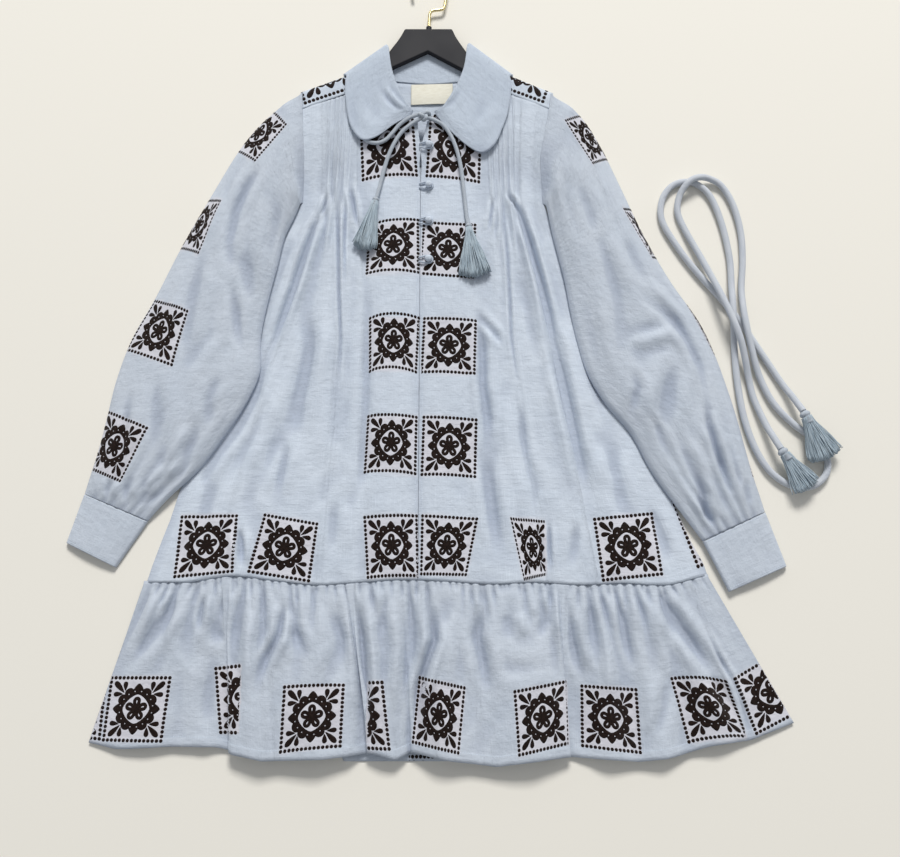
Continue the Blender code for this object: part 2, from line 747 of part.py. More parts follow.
TIE_LEFT = [
    (-40.3, 398.7, 18.6),
    (-48.0, 391.5, 18.0),
    (-59.0, 381.0, 16.8),
    (-68.0, 368.0, 16.2),
    (-76.0, 351.0, 14.8),
    (-82.0, 332.0, 13.0),
    (-87.0, 310.0, 12.4),
    (-91.5, 291.0, 14.2),
]
TIE_UNDER_COLLAR = [
    (-42.8, 404.0, 19.4),
    (-52.0, 398.0, 18.4),
    (-63.0, 389.5, 17.4),
    (-73.0, 377.0, 17.0),
    (-81.0, 368.5, 16.4),
    (-91.0, 364.5, 15.9),
    (-101.0, 366.0, 15.6),
    (-107.0, 369.5, 15.6),
]
TIE_RIGHT = [
    (-28.0, 397.8, 18.4),
    (-20.0, 395.0, 18.0),
    (-10.0, 389.5, 17.4),
    (-1.0, 378.0, 16.6),
    (7.0, 360.0, 15.4),
    (13.0, 336.0, 13.4),
    (17.0, 304.0, 12.4),
    (20.0, 273.0, 12.6),
    (22.5, 256.0, 14.2),
]
TIE_THICK_MM = 5.0
round_cord("neck_tie_left", TIE_LEFT, TIE_THICK_MM, 16)
round_cord("neck_tie_loop", TIE_UNDER_COLLAR, TIE_THICK_MM, 14)
round_cord("neck_tie_right", TIE_RIGHT, TIE_THICK_MM, 18)


def tassel(name, head, middle_end, spread, head_radius, low, across, layers=3):
    """Strands fanned from one bound head; their roots run into it and their ends stay apart."""
    head = np.array(head, float)
    end = np.array(middle_end, float)
    along = end - head
    length = float(np.linalg.norm(along))
    along = along / length
    side = np.array([-along[1], along[0]])
    strands = bmesh.new()
    for layer in range(layers):
        count = across - layer % 2
        for number in range(count):
            t = (number + 0.5) / count * 2 - 1
            root_out = t * head_radius * 0.78
            end_out = t * spread
            shorter = 0.10 * t * t + 0.03 * ((number * 7 + layer * 3) % 5 - 2)
            rings = []
            for step in range(3):
                s = step / 2
                out = root_out + (end_out - root_out) * eased(0.25 + 0.75 * s) if step else root_out
                reach = length * (0.10 + (0.90 - shorter) * s)
                centre = head + along * reach + side * out
                z_root = low + head_radius + 1.4 * (layer - 1)
                z_end = low + 0.9 + 2.6 * layer
                z = z_root + (z_end - z_root) * s
                radius = 0.42 + 0.34 * s
                ring = []
                for corner in range(3):
                    angle = 2 * math.pi * corner / 3 + math.pi / 2
                    shift = side * radius * math.cos(angle)
                    point = (centre[0] + shift[0], centre[1] + shift[1], z + radius * math.sin(angle))
                    ring.append(strands.verts.new(placed(point)))
                rings.append(ring)
            for start, after in zip(rings, rings[1:]):
                for corner in range(3):
                    nxt = (corner + 1) % 3
                    strands.faces.new((start[corner], start[nxt], after[nxt], after[corner]))
            strands.faces.new(rings[0][::-1])
            strands.faces.new(rings[-1])
    bmesh.ops.recalc_face_normals(strands, faces=strands.faces)
    strand_data = bpy.data.meshes.new(name + "_strands")
    strands.to_mesh(strand_data)
    strands.free()
    strand_object = in_scene(name + "_strands", strand_data, blue_cord)
    strand_object.hide_render = True
    strand_object.display_type = "WIRE"

    # The bound head: a short drum along the cord with a waist.
    rings = []
    head_mesh = bmesh.new()
    for reach, radius in ((0.0, 0.55), (0.10, 0.95), (0.30, 1.0), (0.42, 0.8), (0.55, 1.0), (0.9, 0.9)):
        centre = head + along * (reach * head_radius * 2.2)
        ring = []
        for corner in range(10):
            angle = 2 * math.pi * corner / 10
            shift = side * radius * head_radius * math.cos(angle)
            z = low + head_radius * (1 + radius * math.sin(angle) * 0.95)
            ring.append(head_mesh.verts.new(placed((centre[0] + shift[0], centre[1] + shift[1], z))))
        rings.append(ring)
    for start, after in zip(rings, rings[1:]):
        for corner in range(10):
            nxt = (corner + 1) % 10
            head_mesh.faces.new((start[corner], start[nxt], after[nxt], after[corner]))
    head_mesh.faces.new(rings[0][::-1])
    head_mesh.faces.new(rings[-1])
    bmesh.ops.recalc_face_normals(head_mesh, faces=head_mesh.faces)
    head_data = bpy.data.meshes.new(name)
    head_mesh.to_mesh(head_data)
    head_mesh.free()
    made = in_scene(name, head_data, blue_cord)
    union = made.modifiers.new("strands", "BOOLEAN")
    union.operation = "UNION"
    union.solver = "EXACT"
    union.object = strand_object


tassel("neck_tassel_left", (-91.8, 290.4), (-106.5, 221.0), 13.0, 4.2, 10.4, 8)
tassel("neck_tassel_right", (22.6, 255.4), (32.0, 186.0), 19.0, 4.2, 10.4, 8)


# Rope belt in a double loop: x, y, height.  It climbs where it lies over itself.
BELT_THICK_MM = 8.0
BELT = [
    (417.5, 17.6, 15.4),
    (408.0, 37.0, 9.0),
    (397.0, 56.0, 4.6),
    (374.0, 96.0, 4.4),
    (347.0, 141.0, 4.3),
    (302.0, 199.0, 4.3),
    (279.0, 234.0, 4.3),
    (264.0, 265.0, 4.3),
    (265.0, 291.0, 4.3),
    (277.0, 310.0, 4.3),
    (294.0, 317.0, 4.3),
    (311.0, 313.0, 4.3),
    (326.0, 297.0, 4.3),
    (338.0, 261.0, 4.3),
    (345.0, 216.0, 4.3),
    (344.5, 178.0, 7.0),
    (343.5, 158.0, 12.0),
    (343.0, 141.0, 13.2),
    (343.0, 122.0, 11.0),
    (343.5, 98.0, 5.6),
    (345.0, 56.0, 4.3),
    (350.0, 13.0, 4.3),
    (361.0, -25.0, 4.3),
    (377.0, -53.0, 4.3),
    (399.0, -69.0, 4.3),
    (423.0, -71.0, 4.3),
    (441.0, -58.0, 4.3),
    (445.0, -38.0, 4.3),
    (433.0, -15.0, 4.3),
    (410.0, 3.0, 4.3),
    (387.0, 29.0, 4.3),
    (372.0, 62.0, 4.8),
    (363.0, 96.0, 10.4),
    (358.0, 124.0, 13.4),
    (356.0, 148.0, 11.0),
    (357.0, 176.0, 5.2),
    (361.0, 212.0, 4.3),
    (361.0, 249.0, 4.3),
    (354.0, 285.0, 4.3),
    (341.0, 311.0, 4.6),
    (325.0, 320.0, 7.4),
    (310.0, 319.0, 12.6),
    (297.0, 312.0, 12.8),
    (287.0, 297.0, 6.6),
    (284.0, 276.0, 4.4),
    (292.0, 252.0, 4.4),
    (307.0, 219.0, 7.0),
    (319.0, 188.0, 13.0),
    (330.0, 158.0, 18.6),
    (339.0, 132.0, 21.6),
    (347.0, 108.0, 20.4),
    (353.5, 84.0, 13.0),
    (358.5, 60.0, 5.6),
    (363.0, 36.0, 4.6),
    (374.0, 4.0, 7.6),
    (381.5, -14.0, 12.4),
    (388.0, -28.0, 15.4),
]
round_cord("belt_rope", BELT, BELT_THICK_MM, 84)
tassel("belt_tassel_upper", (418.1, 16.5), (443.5, -40.0), 21.0, 6.4, 9.0, 12)
tassel("belt_tassel_lower", (388.4, -28.8), (418.5, -75.5), 17.0, 6.4, 9.0, 12)
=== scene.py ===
"""Pale blue linen smock dress with square embroidered motifs, laid flat with its rope belt."""

import json
import math

import bpy
import numpy as np
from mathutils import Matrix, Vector
from mathutils.bvhtree import BVHTree

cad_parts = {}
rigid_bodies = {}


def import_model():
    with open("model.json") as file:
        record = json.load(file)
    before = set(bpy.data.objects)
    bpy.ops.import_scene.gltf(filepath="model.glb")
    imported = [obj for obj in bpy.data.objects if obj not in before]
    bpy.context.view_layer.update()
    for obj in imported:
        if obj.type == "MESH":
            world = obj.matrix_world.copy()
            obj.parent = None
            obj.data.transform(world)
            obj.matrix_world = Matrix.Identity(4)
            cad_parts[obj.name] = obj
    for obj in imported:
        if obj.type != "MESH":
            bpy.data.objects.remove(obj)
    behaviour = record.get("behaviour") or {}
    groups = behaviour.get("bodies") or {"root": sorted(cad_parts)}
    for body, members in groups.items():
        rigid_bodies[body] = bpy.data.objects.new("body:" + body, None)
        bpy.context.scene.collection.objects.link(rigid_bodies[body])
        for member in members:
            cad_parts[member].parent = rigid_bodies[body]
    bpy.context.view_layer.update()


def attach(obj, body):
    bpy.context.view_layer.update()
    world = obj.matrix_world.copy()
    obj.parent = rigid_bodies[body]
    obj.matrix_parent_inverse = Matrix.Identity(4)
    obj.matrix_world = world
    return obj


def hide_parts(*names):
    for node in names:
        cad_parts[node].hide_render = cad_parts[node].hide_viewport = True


# The table top, the daylight room and the view.
# The dress lies on a plain warm-white surface under soft light from beyond its neck.
# The plan is in millimetres, x to the right and y toward the neck; pieces are in metres.
for startup_object in list(bpy.data.objects):
    bpy.data.objects.remove(startup_object, do_unlink=True)
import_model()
scene = bpy.context.scene
PLAN_CENTRE = np.array([-28.2, 115.0, 0.0])


def to_frame(points_mm):
    """Plan millimetres to metres in the shared frame."""
    return (np.asarray(points_mm, float) - PLAN_CENTRE) * 0.001


view_from = bpy.data.cameras.new("photo_view")
view_from.sensor_width = 36.0
view_from.lens = 41.6
camera = bpy.data.objects.new("photo_view", view_from)
camera.location = (0.0282, -0.3939, 1.2082)
camera.rotation_euler = (math.radians(13), 0, 0)
scene.collection.objects.link(camera)
scene.camera = camera


def plain_finish(name, colour, roughness):
    made = bpy.data.materials.new(name)
    made.use_nodes = True
    shader = made.node_tree.nodes["Principled BSDF"]
    shader.inputs["Base Color"].default_value = (*colour, 1)
    shader.inputs["Roughness"].default_value = roughness
    return made


table_mesh = bpy.data.meshes.new("table_top")
table_corners = [(x, y, -0.0004) for x, y in ((-6, -6), (6, -6), (6, 6), (-6, 6))]
table_mesh.from_pydata(table_corners, [], [(0, 1, 2, 3)])
table_top = bpy.data.objects.new("table_top", table_mesh)
table_mesh.materials.append(plain_finish("table_paint", (0.83, 0.80, 0.73), 0.8))
scene.collection.objects.link(table_top)


def soft_light(name, place, aim, size, watts, colour):
    lamp = bpy.data.lights.new(name, "AREA")
    lamp.shape = "RECTANGLE"
    lamp.size = size[0]
    lamp.size_y = size[1]
    lamp.energy = watts
    lamp.color = colour
    made = bpy.data.objects.new(name, lamp)
    made.location = place
    made.rotation_euler = (Vector(aim) - Vector(place)).to_track_quat("-Z", "Y").to_euler()
    scene.collection.objects.link(made)


soft_light("window", (0.7, 7.4, 6.6), (0.0, 0.0, 0.0), (3.4, 2.6), 930, (1.0, 0.985, 0.955))
scene.world = bpy.data.worlds.new("room")
scene.world.use_nodes = True
room_light = scene.world.node_tree.nodes["Background"]
room_light.inputs["Color"].default_value = (0.93, 0.96, 1.0, 1)
room_light.inputs["Strength"].default_value = 0.40
scene.view_settings.view_transform = "Standard"
scene.view_settings.look = "None"


# Rope belt: an 8 mm round braid of cotton laid in a double loop at the right of the dress.
# Its two ends run into wound tassel heads, and it climbs where it crosses over itself.
BELT_THICK_MM = 8.0
BELT = [
    (417.5, 17.6, 15.4),
    (408.0, 37.0, 9.0),
    (397.0, 56.0, 4.6),
    (374.0, 96.0, 4.4),
    (347.0, 141.0, 4.3),
    (302.0, 199.0, 4.3),
    (279.0, 234.0, 4.3),
    (264.0, 265.0, 4.3),
    (265.0, 291.0, 4.3),
    (277.0, 310.0, 4.3),
    (294.0, 317.0, 4.3),
    (311.0, 313.0, 4.3),
    (326.0, 297.0, 4.3),
    (338.0, 261.0, 4.3),
    (345.0, 216.0, 4.3),
    (344.5, 178.0, 7.0),
    (343.5, 158.0, 12.0),
    (343.0, 141.0, 13.2),
    (343.0, 122.0, 11.0),
    (343.5, 98.0, 5.6),
    (345.0, 56.0, 4.3),
    (350.0, 13.0, 4.3),
    (361.0, -25.0, 4.3),
    (377.0, -53.0, 4.3),
    (399.0, -69.0, 4.3),
    (423.0, -71.0, 4.3),
    (441.0, -58.0, 4.3),
    (445.0, -38.0, 4.3),
    (433.0, -15.0, 4.3),
    (410.0, 3.0, 4.3),
    (387.0, 29.0, 4.3),
    (372.0, 62.0, 4.8),
    (363.0, 96.0, 10.4),
    (358.0, 124.0, 13.4),
    (356.0, 148.0, 11.0),
    (357.0, 176.0, 5.2),
    (361.0, 212.0, 4.3),
    (361.0, 249.0, 4.3),
    (354.0, 285.0, 4.3),
    (341.0, 311.0, 4.6),
    (325.0, 320.0, 7.4),
    (310.0, 319.0, 12.6),
    (297.0, 312.0, 12.8),
    (287.0, 297.0, 6.6),
    (284.0, 276.0, 4.4),
    (292.0, 252.0, 4.4),
    (307.0, 219.0, 7.0),
    (319.0, 188.0, 13.0),
    (330.0, 158.0, 18.6),
    (339.0, 132.0, 21.6),
    (347.0, 108.0, 20.4),
    (353.5, 84.0, 13.0),
    (358.5, 60.0, 5.6),
    (363.0, 36.0, 4.6),
    (374.0, 4.0, 7.6),
    (381.5, -14.0, 12.4),
    (388.0, -28.0, 15.4),
]


def through(rows, places):
    """A rounded curve through rows of values, read at each place along their numbering."""
    rows = np.asarray(rows, float)
    places = np.clip(np.asarray(places, float), 0, len(rows) - 1)
    k = np.minimum(places.astype(int), len(rows) - 2)
    part = places - k
    part = part.reshape(part.shape + (1,) * (rows.ndim - 1))
    before = rows[np.maximum(k - 1, 0)]
    start = rows[k]
    end = rows[k + 1]
    after = rows[np.minimum(k + 2, len(rows) - 1)]
    slope_in = (end - before) / 2
    slope_out = (after - start) / 2
    curve = (2 * part**3 - 3 * part**2 + 1) * start + (part**3 - 2 * part**2 + part) * slope_in
    return curve + (3 * part**2 - 2 * part**3) * end + (part**3 - part**2) * slope_out


def new_piece(name, points_mm, faces, finish, grain=None):
    """A mesh piece with its place in its mesh; grain holds its pattern coordinates in mm."""
    mesh = bpy.data.meshes.new(name)
    mesh.from_pydata(to_frame(points_mm).tolist(), [], faces)
    mesh.shade_smooth()
    if grain is not None:
        corners = np.empty(len(mesh.loops), np.int32)
        mesh.loops.foreach_get("vertex_index", corners)
        layer = mesh.uv_layers.new(name="grain")
        layer.uv.foreach_set("vector", np.asarray(grain, np.float32)[corners].ravel())
    mesh.materials.append(finish)
    made = bpy.data.objects.new(name, mesh)
    scene.collection.objects.link(made)
    return made


def ring_faces(rings, sides, cap=True):
    """Quads of a tube of rings, with a face at each end."""
    faces = []
    for ring in range(rings - 1):
        for side in range(sides):
            after = (side + 1) % sides
            faces.append((
                ring * sides + side,
                ring * sides + after,
                (ring + 1) * sides + after,
                (ring + 1) * sides + side,
            ))
    if cap:
        faces.append(tuple(range(sides))[::-1])
        faces.append(tuple((rings - 1) * sides + side for side in range(sides)))
    return faces


def round_cord(name, route_mm, thick_mm, rings, finish, sides=16):
    """A round cord along a route, its grain running round and along it in mm."""
    line = through(route_mm, np.linspace(0, len(route_mm) - 1, rings))
    ahead = np.gradient(line, axis=0)
    ahead /= np.linalg.norm(ahead, axis=1, keepdims=True)
    side = np.cross(ahead, [0, 0, 1])
    side /= np.linalg.norm(side, axis=1, keepdims=True)
    up = np.cross(side, ahead)
    turn = np.linspace(0, 2 * math.pi, sides, endpoint=False)
    radius = thick_mm / 2
    around = side[:, None] * np.cos(turn)[None, :, None] + up[:, None] * np.sin(turn)[None, :, None]
    points = line[:, None] + radius * around
    steps = np.linalg.norm(np.diff(line, axis=0), axis=1)
    along = np.concatenate([[0], np.cumsum(steps)])
    # The grain mirrors half-way round, so that it meets itself at the seam.
    across = np.abs(np.where(turn > math.pi, turn - 2 * math.pi, turn)) * radius
    grain = np.stack(np.broadcast_arrays(across[None, :], along[:, None]), axis=-1)
    made = new_piece(name, points.reshape(-1, 3), ring_faces(rings, sides), finish, grain.reshape(-1, 2))
    return made, line, float(along[-1])


class Finish:
    """Lays out the nodes of one finish: linen, cord, threads or satin."""

    def __init__(self, name, roughness, sheen, sheen_colour):
        self.material = bpy.data.materials.new(name)
        self.material.use_nodes = True
        self.tree = self.material.node_tree
        self.shader = self.tree.nodes["Principled BSDF"]
        self.shader.inputs["Roughness"].default_value = roughness
        self.shader.inputs["Sheen Weight"].default_value = sheen
        self.shader.inputs["Sheen Roughness"].default_value = 0.5
        self.shader.inputs["Sheen Tint"].default_value = (*sheen_colour, 1)
        self.shader.inputs["Specular IOR Level"].default_value = 0.25
        grain = self.tree.nodes.new("ShaderNodeUVMap")
        grain.uv_map = "grain"
        self.grain = grain.outputs["UV"]
        self.height = None

    def stretched(self, scale, turn=0.0):
        mapping = self.tree.nodes.new("ShaderNodeMapping")
        mapping.inputs["Scale"].default_value = (*scale, 1)
        mapping.inputs["Rotation"].default_value = (0, 0, math.radians(turn))
        self.tree.links.new(self.grain, mapping.inputs["Vector"])
        return mapping.outputs["Vector"]

    def speckle(self, scale, detail=3.0, roughness=0.55, turn=0.0):
        noise = self.tree.nodes.new("ShaderNodeTexNoise")
        noise.inputs["Scale"].default_value = 1.0
        noise.inputs["Detail"].default_value = detail
        noise.inputs["Roughness"].default_value = roughness
        self.tree.links.new(self.stretched(scale, turn), noise.inputs["Vector"])
        return noise.outputs["Fac"]

    def threads(self, pitch_mm, direction, turn=0.0, wobble=0.6):
        wave = self.tree.nodes.new("ShaderNodeTexWave")
        wave.bands_direction = direction
        wave.inputs["Scale"].default_value = 2 * math.pi / (20 * pitch_mm)
        wave.inputs["Distortion"].default_value = wobble
        wave.inputs["Detail Scale"].default_value = 0.6
        self.tree.links.new(self.stretched((1, 1), turn), wave.inputs["Vector"])
        return wave.outputs["Fac"]

    def ranged(self, value, low, high, to_low, to_high):
        spread = self.tree.nodes.new("ShaderNodeMapRange")
        spread.inputs["From Min"].default_value = low
        spread.inputs["From Max"].default_value = high
        spread.inputs["To Min"].default_value = to_low
        spread.inputs["To Max"].default_value = to_high
        self.tree.links.new(value, spread.inputs["Value"])
        return spread.outputs["Result"]

    def mixed(self, share, first, second):
        mix = self.tree.nodes.new("ShaderNodeMix")
        mix.data_type = "RGBA"
        self.tree.links.new(share, mix.inputs["Factor"])
        for socket, colour in ((mix.inputs[6], first), (mix.inputs[7], second)):
            if isinstance(colour, tuple):
                socket.default_value = (*colour, 1)
            else:
                self.tree.links.new(colour, socket)
        return mix.outputs[2]

    def coloured(self, colour):
        self.tree.links.new(colour, self.shader.inputs["Base Color"])

    def raised(self, value, distance_mm):
        bump = self.tree.nodes.new("ShaderNodeBump")
        bump.inputs["Strength"].default_value = 1.0
        bump.inputs["Distance"].default_value = distance_mm * 0.001
        self.tree.links.new(value, bump.inputs["Height"])
        if self.height is not None:
            self.tree.links.new(self.height, bump.inputs["Normal"])
        self.height = bump.outputs["Normal"]
        self.tree.links.new(self.height, self.shader.inputs["Normal"])


def cord_finish(name, pale, deep, rib_mm):
    """Braided cotton: fine slanting ribs, a little uneven in colour."""
    finish = Finish(name, 0.75, 0.3, (0.8, 0.88, 0.95))
    ribs = finish.threads(rib_mm, "Y", turn=32, wobble=1.2)
    patches = finish.speckle((0.25, 0.05), 4)
    shade = finish.mixed(finish.ranged(patches, 0.35, 0.68, 0, 1), deep, pale)
    finish.coloured(finish.mixed(finish.ranged(ribs, 0, 1, 0, 0.45), shade, tuple(c * 0.72 for c in deep)))
    finish.raised(ribs, 0.35)
    finish.raised(finish.speckle((2.4, 0.7), 3), 0.2)
    return finish.material


blue_braid = cord_finish("blue_braid", (0.70, 0.73, 0.78), (0.60, 0.64, 0.71), 1.5)
belt_rope, belt_line, belt_length = round_cord("belt_braid", BELT, BELT_THICK_MM, 900, blue_braid)
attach(belt_rope, "root")
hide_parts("belt_rope")


# Neck tie: a 5 mm cord under the collar, knotted at the throat, with two hanging ends.
# One more strand shows from the knot until the left collar wing hides it.
TIE_THICK_MM = 5.0
TIE_LEFT = [
    (-34.5, 398.0, 19.4),
    (-46.0, 391.5, 18.2),
    (-59.0, 381.0, 16.8),
    (-68.0, 368.0, 16.2),
    (-76.0, 351.0, 14.8),
    (-82.0, 332.0, 13.0),
    (-87.0, 310.0, 12.4),
    (-91.5, 291.0, 14.2),
]
TIE_UNDER_COLLAR = [
    (-35.5, 402.5, 20.4),
    (-50.0, 398.5, 18.6),
    (-63.0, 389.5, 17.4),
    (-73.0, 377.0, 17.0),
    (-81.0, 368.5, 16.4),
    (-91.0, 364.5, 15.9),
    (-101.0, 366.0, 15.6),
    (-107.0, 369.5, 15.6),
]
TIE_RIGHT = [
    (-31.5, 398.6, 19.4),
    (-21.0, 395.5, 18.2),
    (-10.0, 389.5, 17.4),
    (-1.0, 378.0, 16.6),
    (7.0, 360.0, 15.4),
    (13.0, 336.0, 13.4),
    (17.0, 304.0, 12.4),
    (20.0, 273.0, 12.6),
    (22.5, 256.0, 14.2),
]
blue_cord = cord_finish("blue_cord", (0.62, 0.67, 0.73), (0.52, 0.58, 0.66), 0.9)
ties = {}
for strand, route, rings in (
    ("neck_tie_left", TIE_LEFT, 160),
    ("neck_tie_loop", TIE_UNDER_COLLAR, 110),
    ("neck_tie_right", TIE_RIGHT, 190),
):
    ties[strand] = round_cord(strand + "_cord", route, TIE_THICK_MM, rings, blue_cord, 14)
    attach(ties[strand][0], "root")
    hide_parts(strand)

# The knot: the cord wound round itself.
KNOT_MIDDLE = np.array([-32.0, 399.5, 21.0])
KNOT_THICK_MM = 4.6
turn = np.linspace(0, 2 * math.pi, 140, endpoint=False)
knot_route = KNOT_MIDDLE + np.stack(
    [
        2.7 * (np.sin(turn) + 1.5 * np.sin(2 * turn)),
        2.2 * (np.cos(turn) - 1.6 * np.cos(2 * turn)),
        -2.5 * np.sin(3 * turn),
    ],
    axis=1,
)
knot = round_cord("neck_tie_wound_knot", knot_route, KNOT_THICK_MM, 200, blue_cord, 14)[0]
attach(knot, "root")
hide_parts("neck_tie_knot")


# Tassels: combed cotton threads folded over the cord's end and bound by a wound neck.
# The threads fan out on the cloth or the table and are cut a little unevenly.
def thread_finish(name, pale, deep):
    finish = Finish(name, 0.65, 0.45, (0.85, 0.92, 0.97))
    streak = finish.speckle((1.1, 0.05), 3)
    finish.coloured(finish.mixed(finish.ranged(streak, 0.3, 0.7, 0, 1), deep, pale))
    finish.raised(finish.threads(0.5, "X", turn=20, wobble=1.0), 0.1)
    return finish.material


blue_threads = thread_finish("blue_threads", (0.60, 0.69, 0.75), (0.27, 0.36, 0.44))


def tassel(name, head, middle_end, spread, head_radius, low, strands, replaced, seed):
    """Threads that fan out from a wound head; low is the height of what they lie on."""
    chance = np.random.default_rng(seed)
    head = np.array(head, float)
    along = np.array(middle_end, float) - head
    length = float(np.linalg.norm(along))
    along /= length
    side = np.array([-along[1], along[0]])
    points, grain, faces = [], [], []
    rings, sides = 11, 4
    corner = np.arange(sides) * 2 * math.pi / sides
    for strand in range(strands):
        across = chance.uniform(-1, 1)
        layer = chance.uniform(0, 1)
        reach = length * (1.0 - 0.09 * across**2 - 0.07 * chance.uniform(0, 1) ** 2)
        root_height = low + head_radius * (1 + 0.8 * (layer * 2 - 1) * math.sqrt(1 - 0.7 * across**2))
        end_height = low + 0.9 + 7.4 * layer * (1 - 0.35 * across**2)
        swing = chance.normal(0, 1.1)
        wave = chance.uniform(0.3, 1.0)
        start_turn = chance.uniform(0, 6.3)
        thick = chance.uniform(0.42, 0.66)
        base = len(points)
        for ring in range(rings):
            s = ring / (rings - 1)
            opened = s * s * (3 - 2 * s)
            out = across * (head_radius * 0.85 + (spread - head_radius * 0.85) * (0.45 * s + 0.55 * opened))
            out += swing * s * s + wave * math.sin(start_turn + 7 * s) * (0.2 + s)
            rise = root_height + (end_height - root_height) * min(1.0, 1.5 * s) ** 0.8
            rise += 0.35 * math.sin(start_turn + 9 * s)
            centre = head + along * (head_radius + (reach - head_radius) * s) + side * out
            height = max(rise, low + thick)
            for angle in corner:
                shift = side * thick * math.cos(angle)
                points.append((centre[0] + shift[0], centre[1] + shift[1], height + thick * math.sin(angle)))
                grain.append((thick * angle + strand * 3.1, s * length))
        for face in ring_faces(rings, sides):
            faces.append(tuple(base + corner_number for corner_number in face))
    fringe = new_piece(name + "_fringe", points, faces, blue_threads, grain)
    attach(fringe, "root")

    # The head and its wound neck, turned round the cord's direction.
    profile = [(-0.15, 0.5), (0.02, 0.78), (0.2, 0.98), (0.42, 1.04), (0.6, 0.96), (0.74, 0.74)]
    for wrap in range(5):
        profile.append((0.82 + 0.12 * wrap, 0.8))
        profile.append((0.88 + 0.12 * wrap, 0.9))
    profile += [(1.44, 0.82), (1.6, 0.95), (1.8, 0.8)]
    points, grain = [], []
    sides = 20
    for reach, radius in profile:
        centre = head + along * (reach * head_radius * 1.3)
        for number in range(sides):
            angle = 2 * math.pi * number / sides
            wide = radius * head_radius * (1 + 0.035 * math.cos(7 * angle))
            shift = side * wide * math.cos(angle)
            rise = low + head_radius + wide * math.sin(angle) * 0.95
            points.append((centre[0] + shift[0], centre[1] + shift[1], rise))
            grain.append((abs(math.pi - angle) * head_radius, reach * head_radius * 1.3))
    wound = new_piece(name + "_head", points, ring_faces(len(profile), sides), blue_cord, grain)
    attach(wound, "root")
    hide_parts(replaced)
    return [fringe, wound]


left_tassel = tassel(
    "tie_tassel_left", head=(-91.8, 290.4), middle_end=(-106.5, 221.0), spread=13.5,
    head_radius=4.2, low=10.4, strands=170, replaced="neck_tassel_left", seed=3,
)
right_tassel = tassel(
    "tie_tassel_right", head=(22.6, 255.4), middle_end=(32.0, 186.0), spread=19.5,
    head_radius=4.2, low=10.4, strands=190, replaced="neck_tassel_right", seed=5,
)
upper_tassel = tassel(
    "belt_tassel_first", head=(418.1, 16.5), middle_end=(443.5, -40.0), spread=20.0,
    head_radius=6.2, low=9.0, strands=230, replaced="belt_tassel_upper", seed=7,
)
lower_tassel = tassel(
    "belt_tassel_second", head=(388.4, -28.8), middle_end=(418.5, -75.5), spread=16.0,
    head_radius=6.2, low=9.0, strands=230, replaced="belt_tassel_lower", seed=9,
)


# Front of the body: two linen panels with groups of pintucks below the yoke.
# They are joined down the centre, slit open at the throat, and the tucks open into long folds.
TILES = [
    # sewn on, then x, y of its four corners from the lower left round, bow, seen from x, to x
    ("front", -109, 319, -42, 325, -48, 404, -113, 400, 3, -120, -36),
    ("front", -102, 194, -39, 195, -40, 264, -100, 258, 3, -120, -36),
    ("front", -96, 69, -41, 68, -38, 136, -97, 136, 5, -120, -36),
    ("front", -100, -54, -41, -56, -40, 12, -97, 13, 2, -120, -36),
    ("front", -94, -177, -37, -175, -39, -106, -99, -108, 1, -120, -36),
    ("front", -29, 324, 36, 316, 39, 397, -24, 404, 1, -35, 60),
    ("front", -37, 194, 28, 188, 31, 257, -32, 261, -1, -35, 60),
    ("front", -34, 68, 29, 65, 31, 132, -31, 135, 1, -35, 60),
    ("front", -33, -57, 29, -60, 31, 8, -31, 12, 1, -35, 60),
    ("front", -33, -173, 18, -174, 31, -110, -32, -106, 0, -35, 60),
    ("front", -316, -176, -250, -170, -248, -106, -312, -107, 0, -400, -200),
    ("front", -231, -170, -162, -181, -154, -116, -215, -105, 0, -260, -100),
    ("front", 85, -179, 112, -173, 112, -113, 71, -110, 0, 30, 110),
    ("front", 176, -180, 243, -173, 235, -103, 168, -110, 0, 130, 260),
    ("front", 286, -164, 353, -139, 329, -63, 261, -87, 0, 200, 330),
]

# Seam between body and ruffle: its two ends, and y every 50 mm from the left one.
SEAM_LEFT_X = -352
SEAM_RIGHT_X = 297
SEAM_Y = [-183, -183, -176, -181, -186, -183, -180, -182, -185, -183, -186, -184, -186, -175]
BODY_SIDE = [
    # y, left x, right x
    (438, -190.5, 131.5),
    (412, -189.5, 127.5),
    (350, -186.0, 116.0),
    (289, -186.0, 117.0),
    (262, -199.0, 125.4),
    (240, -209.0, 132.2),
    (210, -216.0, 141.5),
    (160, -225.0, 165.5),
    (110, -242.0, 183.0),
    (70, -263.0, 200.0),
    (30, -278.0, 216.0),
    (-28, -299.0, 238.0),
    (-76, -317.0, 257.0),
    (-110, -326.0, 269.0),
    (-139, -336.0, 281.0),
    (-163, -344.0, 292.0),
    (-190, -351.5, 299.0),
]
LEFT, RIGHT = 1, 2
CHEST_HEIGHT = [
    # y, height of the middle of the cloth
    (470, 12.0),
    (385, 12.0),
    (365, 10.6),
    (340, 7.4),
    (320, 5.8),
    (300, 5.5),
]
LEFT_FRONT_TOP = [(-191, 411), (-137, 432), (-80, 455), (-72, 432), (-60, 414), (-42, 402), (-30, 402)]
RIGHT_FRONT_TOP = [(-45, 402), (-28, 402), (-6, 414), (12, 432), (20, 457), (77, 433), (130, 410)]
